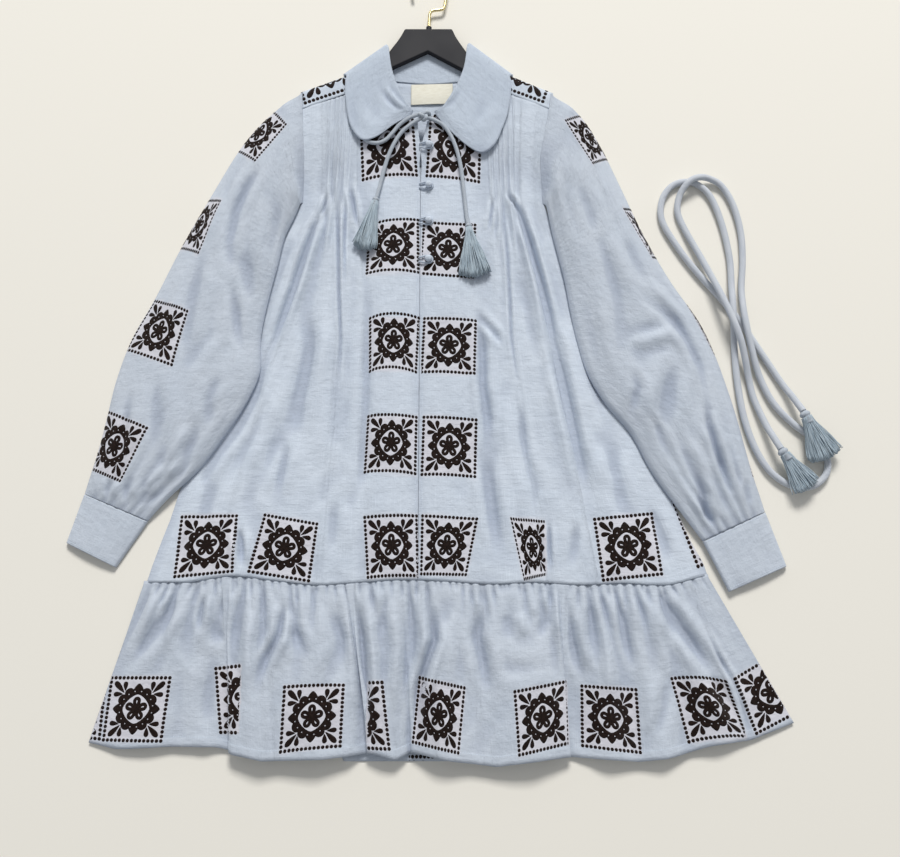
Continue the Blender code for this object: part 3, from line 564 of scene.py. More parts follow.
LEFT_FOLDS = [
    # x at y 300, 160, 30, -180; height there; how far it belongs to a tuck, 0 to 1
    (-37.2, -37.2, -37.2, -37.2, 7.0, 7.0, 6.0, 6.0, 0.6),
    (-55, -55, -55, -57, 8.0, 8.6, 8.0, 9.0, 1.0),
    (-80, -79, -79, -82, 8.4, 9.2, 9.0, 10.0, 1.0),
    (-112, -101, -99, -100, 5.2, 5.6, 6.4, 7.4, 0.0),
    (-118, -108, -110, -112, 7.6, 8.2, 8.4, 8.4, 1.0),
    (-124, -116, -120, -125, 6.0, 8.0, 8.4, 8.4, 0.0),
    (-130, -126, -130, -140, 8.8, 9.4, 8.8, 8.6, 1.0),
    (-137, -136, -142, -156, 6.0, 8.6, 8.6, 8.4, 0.0),
    (-142, -153, -167, -192, 9.6, 11.0, 10.0, 9.4, 1.0),
    (-147, -170, -192, -226, 5.2, 5.6, 6.0, 6.4, 0.0),
    (-152, -182, -215, -258, 8.6, 8.6, 7.6, 8.4, 1.0),
    (-158, -195, -238, -290, 5.0, 4.4, 4.6, 6.0, 0.0),
    (-170, -207, -258, -322, 4.0, 2.8, 3.0, 6.0, 0.6),
    (-184.5, -219, -278, -351, 2.4, 2.2, 2.2, 2.3, 0.0),
]
RIGHT_FOLDS = [
    (-36.8, -36.8, -36.8, -36.8, 7.0, 7.0, 6.0, 6.0, 0.6),
    (-18, -18, -18, -17, 8.0, 8.6, 8.0, 9.0, 1.0),
    (12, 12, 12, 12, 8.4, 9.0, 8.6, 9.0, 1.0),
    (45, 44, 42, 44, 5.6, 6.8, 6.4, 7.0, 0.0),
    (53, 58, 62, 78, 8.0, 8.8, 9.0, 9.4, 1.0),
    (57, 66, 75, 105, 6.4, 8.8, 9.0, 10.0, 0.0),
    (61, 71, 82, 113, 8.0, 8.8, 8.8, 7.6, 1.0),
    (65, 80, 97, 128, 6.4, 8.8, 9.0, 8.2, 0.0),
    (70, 90, 110, 145, 8.6, 9.8, 9.4, 9.0, 1.0),
    (74, 102, 124, 160, 6.6, 9.0, 9.0, 8.4, 0.0),
    (78, 108, 131, 167, 8.6, 7.8, 7.6, 7.6, 1.0),
    (84, 115, 139, 177, 5.2, 4.8, 5.2, 6.6, 0.0),
    (92, 126, 154, 205, 8.0, 7.2, 7.2, 8.4, 1.0),
    (103, 136, 174, 240, 5.4, 4.4, 4.4, 6.4, 0.4),
    (110, 150, 196, 268, 3.6, 2.8, 2.8, 6.4, 0.2),
    (117, 165.5, 216, 297, 2.4, 2.2, 2.2, 2.3, 0.0),
]
# Pintucks stitched from the yoke down to one level: x at the yoke, x where they end.
TUCKS_END_Y = 305
LEFT_TUCKS = [(-122, -128), (-129, -133), (-134, -138), (-139, -142), (-144, -147), (-150, -153)]
RIGHT_TUCKS = [(46, 51), (53, 57), (60, 64), (66, 69), (73, 76), (80, 83)]
CLOTH_MM = 1.0


def eased(t):
    t = np.clip(t, 0, 1)
    return t * t * (3 - 2 * t)


def read(table, at, column):
    """A column of a table at places along its first column."""
    keys = np.array([row[0] for row in table], float)
    values = np.array([row[column] for row in table], float)
    if keys[0] > keys[-1]:
        keys = keys[::-1]
        values = values[::-1]
    return np.interp(at, keys, values)


def rounded(values, places):
    """The rounded curve through values, kept between each pair of neighbours."""
    values = np.asarray(values, float)
    k = np.clip(np.asarray(places, float).astype(int), 0, len(values) - 2)
    low = np.minimum(values[k], values[k + 1])
    high = np.maximum(values[k], values[k + 1])
    t = np.asarray(places, float) - k
    before = values[np.maximum(k - 1, 0)]
    after = values[np.minimum(k + 2, len(values) - 1)]
    bend = (1 - t) * (2 * values[k] - before - values[k + 1]) + t * (2 * values[k + 1] - after - values[k])
    return np.clip(values[k] + t * (values[k + 1] - values[k]) + t * (1 - t) * bend / 2, low, high)


def seam_y(x):
    return rounded(SEAM_Y, (np.asarray(x, float) - SEAM_LEFT_X) / 50)


def lattice(ix, iy, seed):
    """A steady number from -1 to 1 for each crossing of a lattice."""
    mixed = np.sin(ix * 127.1 + iy * 311.7 + seed * 74.7) * 43758.5453
    return 2 * (mixed - np.floor(mixed)) - 1


def rumple(x, y, size_mm, seed):
    """Soft uneven height from -1 to 1, about size_mm from rise to rise."""
    u, v = x / size_mm, y / size_mm
    iu, iv = np.floor(u), np.floor(v)
    fu, fv = eased(u - iu), eased(v - iv)
    low = lattice(iu, iv, seed) * (1 - fu) + lattice(iu + 1, iv, seed) * fu
    high = lattice(iu, iv + 1, seed) * (1 - fu) + lattice(iu + 1, iv + 1, seed) * fu
    return low * (1 - fv) + high * fv


def linen_wrinkles(x, y, seed, strength=1.0):
    """Fine creases that linen keeps: sharp-crested, in three sizes and mixed directions."""
    total = np.zeros_like(x)
    for size, turn, high in ((52, 25, 1.7), (26, -35, 0.75), (13, 60, 0.30)):
        c, s = math.cos(math.radians(turn)), math.sin(math.radians(turn))
        u = x * c + y * s + 5 * rumple(x, y, 60, seed + 9)
        v = (y * c - x * s) * 0.55
        total += high * (0.5 - np.abs(rumple(u, v, size, seed + size)))
    return total * strength


def creases(x, y, table):
    """Height from creases, each along a few points read off the photo, with a swell beside it."""
    total = np.zeros_like(x)
    for wide, high, *line in table:
        line = np.array(line, float).reshape(-1, 2)
        steps = np.hypot(*np.diff(line, axis=0).T)
        ends = np.concatenate([[0], np.cumsum(steps)]) / steps.sum()
        nearest = np.full_like(x, 1e9)
        fade = np.zeros_like(x)
        for start, end, step, first, last in zip(line, line[1:], steps, ends, ends[1:]):
            s = ((x - start[0]) * (end[0] - start[0]) + (y - start[1]) * (end[1] - start[1])) / step**2
            s = np.clip(s, 0, 1)
            away = np.hypot(x - start[0] - s * (end[0] - start[0]), y - start[1] - s * (end[1] - start[1]))
            along = first + s * (last - first)
            closer = away < nearest
            nearest = np.where(closer, away, nearest)
            fade = np.where(closer, eased(2.6 * along + 0.08) * eased(2.2 * (1 - along) + 0.05), fade)
        swell = 0.62 * np.exp(-(((nearest - 2.1 * wide) / (1.1 * wide)) ** 2))
        total += high * fade * (np.exp(-((nearest / wide) ** 2)) - swell)
    return 2.1 * total


def inside_tiles(x, y, sewn_on):
    """1 on the embroidered squares of one cloth, 0 off them, soft at their edges."""
    share = np.zeros_like(x)
    for cloth, *corners, bow, from_x, to_x in TILES:
        if cloth != sewn_on:
            continue
        corners = np.array(corners, float).reshape(4, 2)
        gap = np.full_like(x, -99.0)
        for start, end in zip(corners, np.roll(corners, -1, axis=0)):
            run = end - start
            out = ((x - start[0]) * run[1] - (y - start[1]) * run[0]) / np.hypot(*run)
            gap = np.maximum(gap, out)
        seen = (x > from_x - 1) & (x < to_x + 1)
        share = np.maximum(share, np.clip(0.5 - (gap - 1.5) / 2, 0, 1) * seen)
    return share


def grid_faces(rows, columns, around=False, keep=None):
    faces = []
    for row in range(rows - 1):
        for column in range(columns if around else columns - 1):
            if keep is not None and not keep[row][column]:
                continue
            after = (column + 1) % columns
            faces.append((
                row * columns + column,
                row * columns + after,
                (row + 1) * columns + after,
                (row + 1) * columns + column,
            ))
    return faces


SMOOTHING_SWEEPS = 70
DEEP_FOLD_MM = 1.7


def depth_in_folds(height):
    """How far each point lies below the cloth about it, from 0 on a ridge to 1 in a valley: the amount of
    painted shade in the folds.
    """
    level = height
    for sweep in range(SMOOTHING_SWEEPS):
        wide = np.pad(level, 1, mode="edge")
        level = (wide[1:-1, :-2] + wide[1:-1, 2:] + wide[:-2, 1:-1] + wide[2:, 1:-1]) / 4
    return 1 - np.exp(-np.maximum(level - height, 0) / DEEP_FOLD_MM)


def cloth_shell(name, grid, finish, around=False, keep=None, thick_mm=CLOTH_MM, sewn_on=None, up=True):
    """A thin cloth through a grid of points, with its grain measured along the cloth."""
    rows, columns = grid.shape[:2]
    middle_row = grid[rows // 2]
    middle_column = grid[:, columns // 2]
    across = np.concatenate([[0], np.cumsum(np.linalg.norm(np.diff(middle_row, axis=0), axis=1))])
    down = np.concatenate([[0], np.cumsum(np.linalg.norm(np.diff(middle_column, axis=0), axis=1))])
    if around:
        across = np.minimum(across, across[-1] - across)
    grain = np.stack(np.broadcast_arrays(across[None, :], down[:, None]), axis=-1).reshape(-1, 2)
    faces = grid_faces(rows, columns, around, keep)
    points = grid.reshape(-1, 3)
    if up:
        faces = [face[::-1] for face in faces]
    made = new_piece(name, points, faces, finish, grain)
    # How much painted fold shade each point takes, kept for the linen's colour.
    fold = made.data.attributes.new("fold_painted_shade", "FLOAT", "POINT")
    fold.data.foreach_set("value", depth_in_folds(grid[:, :, 2]).ravel().astype(np.float32))
    if sewn_on is not None:
        ground = made.data.attributes.new("tile_ground", "FLOAT", "POINT")
        share = inside_tiles(points[:, 0], points[:, 1], sewn_on)
        ground.data.foreach_set("value", share.astype(np.float32))
    wall = made.modifiers.new("wall", "SOLIDIFY")
    wall.thickness = thick_mm * 0.001
    wall.offset = 0.0
    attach(made, "root")
    return made


# Blue-grey of the painted shade in the folds.
FOLD_PAINTED_SHADE = (0.29, 0.335, 0.44)
TILE_COLOUR = (0.69, 0.67, 0.72)


def linen_finish(name, pale, deep, with_ground=True):
    """Plain-woven linen: crossed threads with slubs both ways, soft uneven dye, and painted shade in its
    folds.
    """
    finish = Finish(name, 0.88, 0.28, (0.86, 0.92, 1.0))
    warp = finish.threads(0.7, "X", wobble=0.8)
    weft = finish.threads(0.75, "Y", wobble=0.8)
    long_slubs = finish.ranged(finish.speckle((1.3, 0.035), 2), 0.52, 0.72, 0, 1)
    cross_slubs = finish.ranged(finish.speckle((0.035, 1.3), 2), 0.52, 0.72, 0, 1)
    dye = finish.ranged(finish.speckle((0.018, 0.018), 4), 0.35, 0.65, 0, 1)
    shade = finish.mixed(dye, deep, pale)
    lighter = tuple(min(1, c * 1.16) for c in pale)
    darker = tuple(c * 0.84 for c in deep)
    shade = finish.mixed(finish.ranged(long_slubs, 0, 1, 0, 0.55), shade, lighter)
    shade = finish.mixed(finish.ranged(cross_slubs, 0, 1, 0, 0.45), shade, darker)
    shade = finish.mixed(finish.ranged(warp, 0, 1, 0, 0.16), shade, darker)
    shade = finish.mixed(finish.ranged(weft, 0, 1, 0, 0.16), shade, darker)
    # Painted shade in the folds: the colour turns toward a shadowed blue-grey by how low the cloth lies,
    # darker than the light alone makes them.
    fold = finish.tree.nodes.new("ShaderNodeAttribute")
    fold.attribute_name = "fold_painted_shade"
    shade = finish.mixed(finish.ranged(fold.outputs["Fac"], 0, 1, 0, 0.58), shade, FOLD_PAINTED_SHADE)
    if with_ground:
        ground = finish.tree.nodes.new("ShaderNodeAttribute")
        ground.attribute_name = "tile_ground"
        shade = finish.mixed(finish.ranged(ground.outputs["Fac"], 0, 1, 0, 0.75), shade, TILE_COLOUR)
    finish.coloured(shade)
    finish.raised(finish.speckle((0.10, 0.10), 4, 0.6), 1.5)
    finish.raised(long_slubs, 0.10)
    finish.raised(cross_slubs, 0.10)
    finish.raised(warp, 0.08)
    finish.raised(weft, 0.08)
    return finish.material


# One linen in two tones: the copy for the loose sleeves, cuffs and ruffle is painted darker than the body,
# as painted shade.
blue_linen = linen_finish("blue_linen", (0.650, 0.712, 0.800), (0.605, 0.672, 0.768))
# Painted shade: this copy of the linen is darker to stand for the shade on the sleeves, cuffs and ruffle.
painted_shade_linen = linen_finish("painted_shade_linen", (0.595, 0.648, 0.728), (0.552, 0.610, 0.696))


def slit_opening(side, y):
    """How far the edge of one front lies back from the centre line along the throat's slit."""
    back = 4.0 if side == LEFT else 8.0
    sign = -1 if side == LEFT else 1
    between = 1.1 * np.exp(-(((y - 338) / 12) ** 2))
    return sign * (back * eased((y - 352) / 50) + between)


LEFT_FRONT_CREASES = [
    # width and height of the crease, then x, y of its points
    (4.0, -4.2, -155, 295, -159, 273, -169, 253, -179, 218, -190, 176, -204, 133, -219, 89),
    (6.0, -3.2, -219, 95, -233, 42, -255, -4, -276, -34, -301, -85),
    (2.6, -2.6, -154, 299, -156, 284, -160, 269),
    (1.9, -1.5, -142, 298, -138, 237, -136, 172, -132, 108, -134, 39),
    (1.8, -1.6, -130, 296, -131, 237, -128, 172),
    (3.0, -2.4, -125, 310, -119, 277, -114, 248),
    (2.4, 1.4, -149, 298, -149, 261, -155, 208),
    (2.4, 1.2, -136, 299, -134, 251, -131, 198),
    (8.0, -2.8, -169, 147, -168, 102, -175, 61, -181, 33, -183, 2, -192, -25),
    (5.0, -1.8, -189, -16, -198, -58, -203, -87),
    (6.0, -1.6, -99, 172, -101, 108, -101, 33, -104, -52, -112, -93, -112, -140),
    (4.0, -3.4, -245, -120, -242, -140, -240, -166),
    (6.0, 1.8, -182, 248, -199, 198, -216, 144, -227, 95),
    (10.0, 1.6, -146, 159, -149, 83, -152, -4, -154, -87),
    (9.0, 1.6, -196, 58, -222, -16, -245, -87),
    (8.0, -1.6, -276, -52, -285, -93, -294, -134),
    (7.0, -1.5, -134, -87, -136, -123, -140, -157),
    (5.0, -1.4, -302, -111, -309, -140, -315, -169),
    (10.0, -1.2, -228, -34, -234, -76, -237, -111),
]
RIGHT_FRONT_CREASES = [
    # width and height of the crease, then x, y of its points
    (4.0, -4.6, 77, 299, 87, 271, 99, 231, 110, 185, 119, 140, 128, 95),
    (6.0, -4.0, 124, 108, 137, 39, 146, -4, 153, -40, 163, -84),
    (2.6, -2.2, 71, 300, 80, 287, 87, 272),
    (2.0, -1.5, 66, 298, 68, 251, 71, 211, 73, 159, 74, 108, 79, 68, 85, 27),
    (4.0, -1.3, 83, 33, 87, -16, 95, -70),
    (2.2, -1.9, 54, 296, 52, 275, 48, 248),
    (2.2, 1.4, 60, 296, 61, 257, 59, 218),
    (2.2, 1.2, 74, 293, 78, 257, 81, 218),
    (5.0, -3.0, 33, 149, 39, 102, 39, 55, 44, 9, 42, -42),
    (7.0, -3.0, 42, -30, 47, -82, 53, -123, 58, -153),
    (3.6, -1.9, 34, 141, 48, 123, 66, 99),
    (7.0, -1.3, 91, -34, 99, -76, 96, -109),
    (2.4, -2.2, 115, -113, 115, -146, 116, -173),
    (6.0, 2.0, 91, 224, 101, 172, 110, 121, 118, 70),
    (9.0, 1.8, 134, 159, 147, 95, 164, 27, 184, -28),
    (8.0, 1.5, 66, 45, 69, -16, 72, -76),
    (8.0, -1.8, 184, -28, 196, -76, 209, -117),
    (7.0, 1.5, 172, -16, 187, -64, 196, -93),
    (7.0, -1.8, 233, -93, 247, -134, 257, -169),
    (6.0, -1.4, 147, -111, 144, -140, 139, -169),
]


def front_panel(name, side, folds, top_line, tucks, table, seed):
    """One half of the front on the form of its solid, its columns running down the folds."""
    per_fold = 12
    places = np.linspace(0, len(folds) - 1, (len(folds) - 1) * per_fold + 1)
    folds = np.array(folds, float)
    levels = np.array([300, 160, 30, -180], float)
    columns = np.stack([rounded(folds[:, i], places) for i in range(9)], axis=1)
    across = places / places[-1]
    grid = []
    at_300 = columns[:, 0].copy()
    top = read(top_line, at_300, 1)
    top[-1] = read(top_line, read(BODY_SIDE, 412, side), 1)
    tuck = columns[:, 8]
    ys_down = np.concatenate([np.linspace(296, -150, 92), np.linspace(-154, -180, 8)])
    for part in np.linspace(0, 1, 40):
        y = top + (300 - top) * part
        edge = read(BODY_SIDE, y, side)
        x = at_300 + (edge - at_300[-1]) * across**6
        x = x + slit_opening(side, y) * np.clip(1 - places, 0, 1)
        chest = read(CHEST_HEIGHT, y, 1) + 0.4 * tuck
        z = chest + (columns[:, 4] - chest) * eased((342 - y) / 42)
        grid.append(np.stack([x, y, z], axis=1))
    for level in ys_down:
        t = np.interp(-level, -levels, [0, 1, 2, 3])
        k = min(int(t), 2)
        soft = t - k
        x = columns[:, k] + (columns[:, k + 1] - columns[:, k]) * soft
        z = columns[:, 4 + k] + (columns[:, 5 + k] - columns[:, 4 + k]) * soft
        edge = read(BODY_SIDE, level, side)
        x = x + (edge - x[-1]) * across**3
        y = np.full_like(x, level)
        near = eased((-level - 120) / 60)
        y = y + near * (seam_y(x) + 0.5 + 180)
        grid.append(np.stack([x, y, z], axis=1))
    grid = np.array(grid)
    x, y = grid[:, :, 0], grid[:, :, 1]
    inner = np.clip(places, 0, 1) * np.clip(places[-1] - places, 0, 1)
    calm = inner[None, :] * eased((y + 181) / 14)
    ridge = np.zeros_like(x)
    for x_top, x_end in tucks:
        line = x_end + (x_top - x_end) * np.clip((y - TUCKS_END_Y) / 130, 0, 1)
        stitched = eased((y - TUCKS_END_Y + 9) / 10)
        crest = 0.7 * np.exp(-((x - line) ** 2))
        groove = 0.5 * np.exp(-(((x - line + 1.9) / 0.9) ** 2))
        ridge += (crest - groove) * stitched
    bulge = creases(x, y, table) * calm
    fine = linen_wrinkles(x, y, seed, 1.1) * calm * (0.35 + 0.65 * eased((330 - y) / 60))
    raised = grid[:, :, 2] + bulge + fine
    grid[:, :, 2] = np.maximum(raised, 1.9 + 0.12 * raised) + ridge
    return cloth_shell(name, grid, blue_linen, sewn_on="front", up=side == LEFT)


front_left = front_panel(
    "left_front_panel", LEFT, LEFT_FOLDS, LEFT_FRONT_TOP, LEFT_TUCKS, LEFT_FRONT_CREASES, 11
)
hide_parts("front_left")
front_right = front_panel(
    "right_front_panel", RIGHT, RIGHT_FOLDS, RIGHT_FRONT_TOP, RIGHT_TUCKS, RIGHT_FRONT_CREASES, 23
)
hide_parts("front_right")


# Back of the body and the yoke: plain linen, flat on the table.
# The yoke runs over the shoulders to the front, with a seam to each tucked front panel.
def finer(coarse, rows, columns):
    """A coarse grid of given points drawn out into a smooth one."""
    coarse = np.asarray(coarse, float)
    down = through(coarse, np.linspace(0, len(coarse) - 1, rows))
    across = through(np.swapaxes(down, 0, 1), np.linspace(0, coarse.shape[1] - 1, columns))
    return np.swapaxes(across, 0, 1)


YOKE_LOW_Y = 339.4
SHOULDER_HALF_MM = 5.2
back_rows = []
for level in np.linspace(YOKE_LOW_Y - 1.0, -182, 62):
    spread = np.linspace(read(BODY_SIDE, level, LEFT), read(BODY_SIDE, level, RIGHT), 84)
    y = level + eased((-level - 120) / 62) * (seam_y(spread) + 1.0 + 182)
    back_rows.append(np.stack([spread, y, np.full_like(spread, 0.55)], axis=1))
back = cloth_shell("back_panel", np.array(back_rows), blue_linen, up=False)
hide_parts("back")

SHOULDER = [
    # x, shoulder y, seam y
    (-190.5, 439, 411.4),
    (-163, 450, 422.4),
    (-136, 461, 432.8),
    (-108, 474, 444.2),
    (-84, 486, 455.0),
    (27, 487, 455.4),
    (52, 475, 444.4),
    (78, 462, 433.2),
    (104, 450, 422.0),
    (131.5, 438, 410.2),
]
BACK_NECK = [(-84, 486), (-78, 466), (-70, 456), (-28, 452.6), (13, 456), (21, 466), (27, 487)]
yoke_x = np.array([
    -190.5, -181, -172, -163, -154, -145, -136, -127, -118, -109, -101, -92, -84, -81, -78, -74, -70, -60,
    -50, -39, -28, -18, -8, 3, 13, 17, 21, 24, 27, 35, 44, 52, 61, 69, 78, 87, 96, 105, 114, 123, 131.5,
])
yoke_rows = []
back_of_yoke = (yoke_x > -84) & (yoke_x < 27)
shoulder_y = read(SHOULDER, yoke_x, 1)
yoke_seam = read(SHOULDER, yoke_x, 2)
yoke_top = np.where(back_of_yoke, read(BACK_NECK, yoke_x, 1), shoulder_y - SHOULDER_HALF_MM)
for part in np.linspace(0, 1, 26):
    y = YOKE_LOW_Y + (yoke_top - YOKE_LOW_Y) * part
    x = yoke_x.copy()
    x[0] = read(BODY_SIDE, y[0], LEFT)
    x[-1] = read(BODY_SIDE, y[-1], RIGHT)
    yoke_rows.append(np.stack([x, y, 0.6 + 1.7 * eased((y - 398) / 36)], axis=1))
for angle in np.linspace(-62, 62, 13):
    back_off = SHOULDER_HALF_MM * (1 - math.cos(math.radians(angle))) * 1.9
    height = 7.1 + 5.4 * math.sin(math.radians(angle))
    yoke_rows.append(np.stack([yoke_x, shoulder_y - back_off, np.full_like(yoke_x, height)], axis=1))
for part in np.linspace(0.12, 1, 12):
    y = shoulder_y - SHOULDER_HALF_MM + (yoke_seam + 0.9 - shoulder_y + SHOULDER_HALF_MM) * part
    height = 12.2 + 0.5 * math.exp(-(((part - 0.9) / 0.08) ** 2))
    yoke_rows.append(np.stack([yoke_x, y, np.full_like(y, height)], axis=1))
yoke_keep = [
    [row < 25 or yoke_x[i + 1] <= -84 or yoke_x[i] >= 27 for i in range(len(yoke_x) - 1)]
    for row in range(len(yoke_rows) - 1)
]
yoke = cloth_shell(
    "shoulder_yoke", np.array(yoke_rows), blue_linen, keep=yoke_keep, sewn_on="yoke", up=False
)
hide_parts("yoke")


# Ruffle tier: a strip of linen gathered to the body's hem, in big uneven waves.
# Three waves are deep enough to fold over their neighbours; the hem is turned up and stitched.
WAVES = [
    # x at the seam, x at the hem, height at the hem, 1 where the cloth folds under
    (-352.0, -402.0, 2.4, 0),
    (-343.0, -385.0, 4.0, 0),
    (-322.0, -343.0, 9.0, 0),
    (-292.0, -304.0, 6.0, 0),
    (-277.0, -275.0, 8.0, 0),
    (-264.0, -246.0, 3.0, 0),
    (-261.0, -234.0, 3.0, 1),
    (-259.0, -232.0, 5.6, 1),
    (-257.0, -237.0, 8.4, 1),
    (-254.5, -244.0, 10.4, 1),
    (-251.0, -240.0, 13.6, 0),
    (-237.0, -214.0, 18.0, 0),
    (-214.0, -190.0, 15.0, 0),
    (-177.0, -155.0, 19.0, 0),
    (-136.0, -112.0, 13.0, 0),
    (-121.0, -94.0, 3.4, 0),
    (-118.0, -83.0, 3.2, 1),
    (-116.0, -81.0, 5.4, 1),
    (-113.5, -85.0, 8.0, 1),
    (-111.0, -91.0, 9.8, 1),
    (-107.5, -87.0, 12.4, 0),
    (-98.0, -75.0, 14.0, 0),
    (-82.0, -62.0, 12.0, 0),
    (-60.0, -50.0, 7.0, 0),
    (-54.0, -44.5, 2.8, 0),
    (-50.0, -41.0, 7.6, 0),
    (-24.0, -12.0, 17.0, 0),
    (24.0, 33.0, 11.0, 0),
    (69.0, 89.0, 19.0, 0),
    (106.0, 118.0, 14.5, 0),
    (120.0, 129.0, 11.0, 0),
    (124.0, 133.0, 9.0, 1),
    (126.5, 129.0, 6.4, 1),
    (128.5, 122.0, 5.4, 1),
    (131.0, 121.0, 3.8, 1),
    (134.0, 127.0, 2.6, 1),
    (147.0, 146.0, 4.0, 0),
    (168.0, 176.0, 14.0, 0),
    (198.0, 208.0, 9.0, 0),
    (221.0, 239.0, 13.0, 0),
    (236.0, 265.0, 5.0, 0),
    (256.0, 298.0, 11.0, 0),
    (277.0, 334.0, 5.0, 0),
    (297.0, 384.0, 2.4, 0),
]
HEM = [
    (-402, -359),
    (-368, -366),
    (-308, -363),
    (-250, -364),
    (-240, -371),
    (-205, -378),
    (-138, -376),
    (-86, -370),
    (-60, -377),
    (-42, -369),
    (0, -378),
    (51, -384),
    (106, -377),
    (131, -374),
    (179, -377),
    (210, -379),
    (244, -375),
    (290, -362),
    (335, -356),
    (384, -338),
]
BODY_HEM_RISE = [(fold[3], fold[7]) for fold in LEFT_FOLDS[::-1] + RIGHT_FOLDS[1:]]
COLUMN_MM = 7.0
FINER_COLUMNS = 7
TILES += [
    ("ruffle", -459, -349, -390, -355, -388, -288, -456, -283, 0, -420, -300),
    ("ruffle", -385, -356, -320, -357, -314, -289, -381, -289, 0, -410, -290),
    ("ruffle", -255, -348, -190, -347, -198, -272, -264, -279, 0, -270, -233),
    ("ruffle", -186, -368, -121, -362, -119, -297, -184, -299, 1, -225, -100),
    ("ruffle", -130, -363, -67, -365, -76, -294, -141, -295, 0, -92, -60),
    ("ruffle", -41, -358, 9, -369, 16, -300, -34, -289, 0, -60, 20),
    ("ruffle", 76, -371, 131, -359, 131, -293, 72, -304, 0, 30, 131),
    ("ruffle", 147, -362, 210, -369, 208, -302, 148, -298, 0, 100, 220),
    ("ruffle", 265, -358, 329, -352, 309, -293, 249, -290, 3, 180, 328),
    ("ruffle", 341, -349, 404, -319, 381, -257, 320, -290, 0, 240, 420),
]

wave_columns = []
for start, end in zip(WAVES, WAVES[1:]):
    steps = max(1, round((end[0] - start[0]) / COLUMN_MM))
    for step in range(steps):
        t = step / steps
        folded = start[3] if step == 0 else 0
        wave_columns.append([
            start[0] + (end[0] - start[0]) * t,
            start[1] + (end[1] - start[1]) * t,
            WAVES.index(start) + t,
            folded,
        ])
wave_columns.append([WAVES[-1][0], WAVES[-1][1], len(WAVES) - 1, 0])
wave_columns = np.array(wave_columns, float)
seam_x, hem_x = wave_columns[:, 0], wave_columns[:, 1]
hem_height = rounded([wave[2] for wave in WAVES], wave_columns[:, 2])
folded = wave_columns[:, 3]
column_places = np.linspace(0, len(wave_columns) - 1, (len(wave_columns) - 1) * FINER_COLUMNS + 1)
downs = np.concatenate([
    np.linspace(0, 0.12, 14),
    np.linspace(0.135, 0.925, 44),
    [0.938, 0.945, 0.95, 0.956, 0.975, 1.0],
])
ruffle_rows = []
for down in downs:
    drawn = np.where(folded > 0, eased((down - 0.18) / 0.82), down)
    opened = down + (drawn - down) * 0.35
    x = seam_x + (hem_x - seam_x) * opened
    top_y = seam_y(seam_x) - 0.5
    y = top_y + (read(HEM, hem_x, 1) - top_y) * down + (3.0 if down == 0 else 0.0)
    edge = np.clip(np.minimum((seam_x - SEAM_LEFT_X) / 30, (SEAM_RIGHT_X - seam_x) / 30), 0, 1)
    seam_height = np.maximum(2.4, read(BODY_HEM_RISE, seam_x, 1) - 0.6 * edge)
    z = seam_height + (hem_height - seam_height) * eased(down * 1.25)
    nodes = np.stack([x, y, z], axis=1)
    ruffle_rows.append(through(nodes, column_places))
ruffle_grid = np.array(ruffle_rows)
seam_at = np.interp(column_places, np.arange(len(seam_x)), seam_x)
fold_at = np.interp(column_places, np.arange(len(seam_x)), folded)
below_seam = downs * 190.0
gather_chance = np.random.default_rng(41)
gathers = np.zeros(ruffle_grid.shape[:2])
gather_x = -344.0
while gather_x < 290:
    long = gather_chance.choice([8, 16, 32, 60, 90], p=[0.24, 0.24, 0.22, 0.18, 0.12])
    deep = gather_chance.uniform(1.2, 2.2) + 0.075 * long
    wide = gather_chance.uniform(1.3, 2.1) + 0.012 * long
    drift = gather_chance.uniform(-0.12, 0.12) + 0.0005 * (gather_x + 25)
    fade = (0.25 + 0.75 * eased(below_seam / (0.35 * long))) * np.exp(-((below_seam / long) ** 1.6))
    spread_out = wide * (1 + below_seam / 45)
    off = (seam_at[None, :] - gather_x - drift * below_seam[:, None]) / spread_out[:, None]
    puffed = 0.45 * np.exp(-((off - 2.1) ** 2) / 2) + 0.35 * np.exp(-((off + 2.2) ** 2) / 2)
    gathers += deep * (puffed * eased(below_seam / 26)[:, None] - np.exp(-(off**2))) * fade[:, None]
    gather_x += gather_chance.uniform(3.5, 13.0)
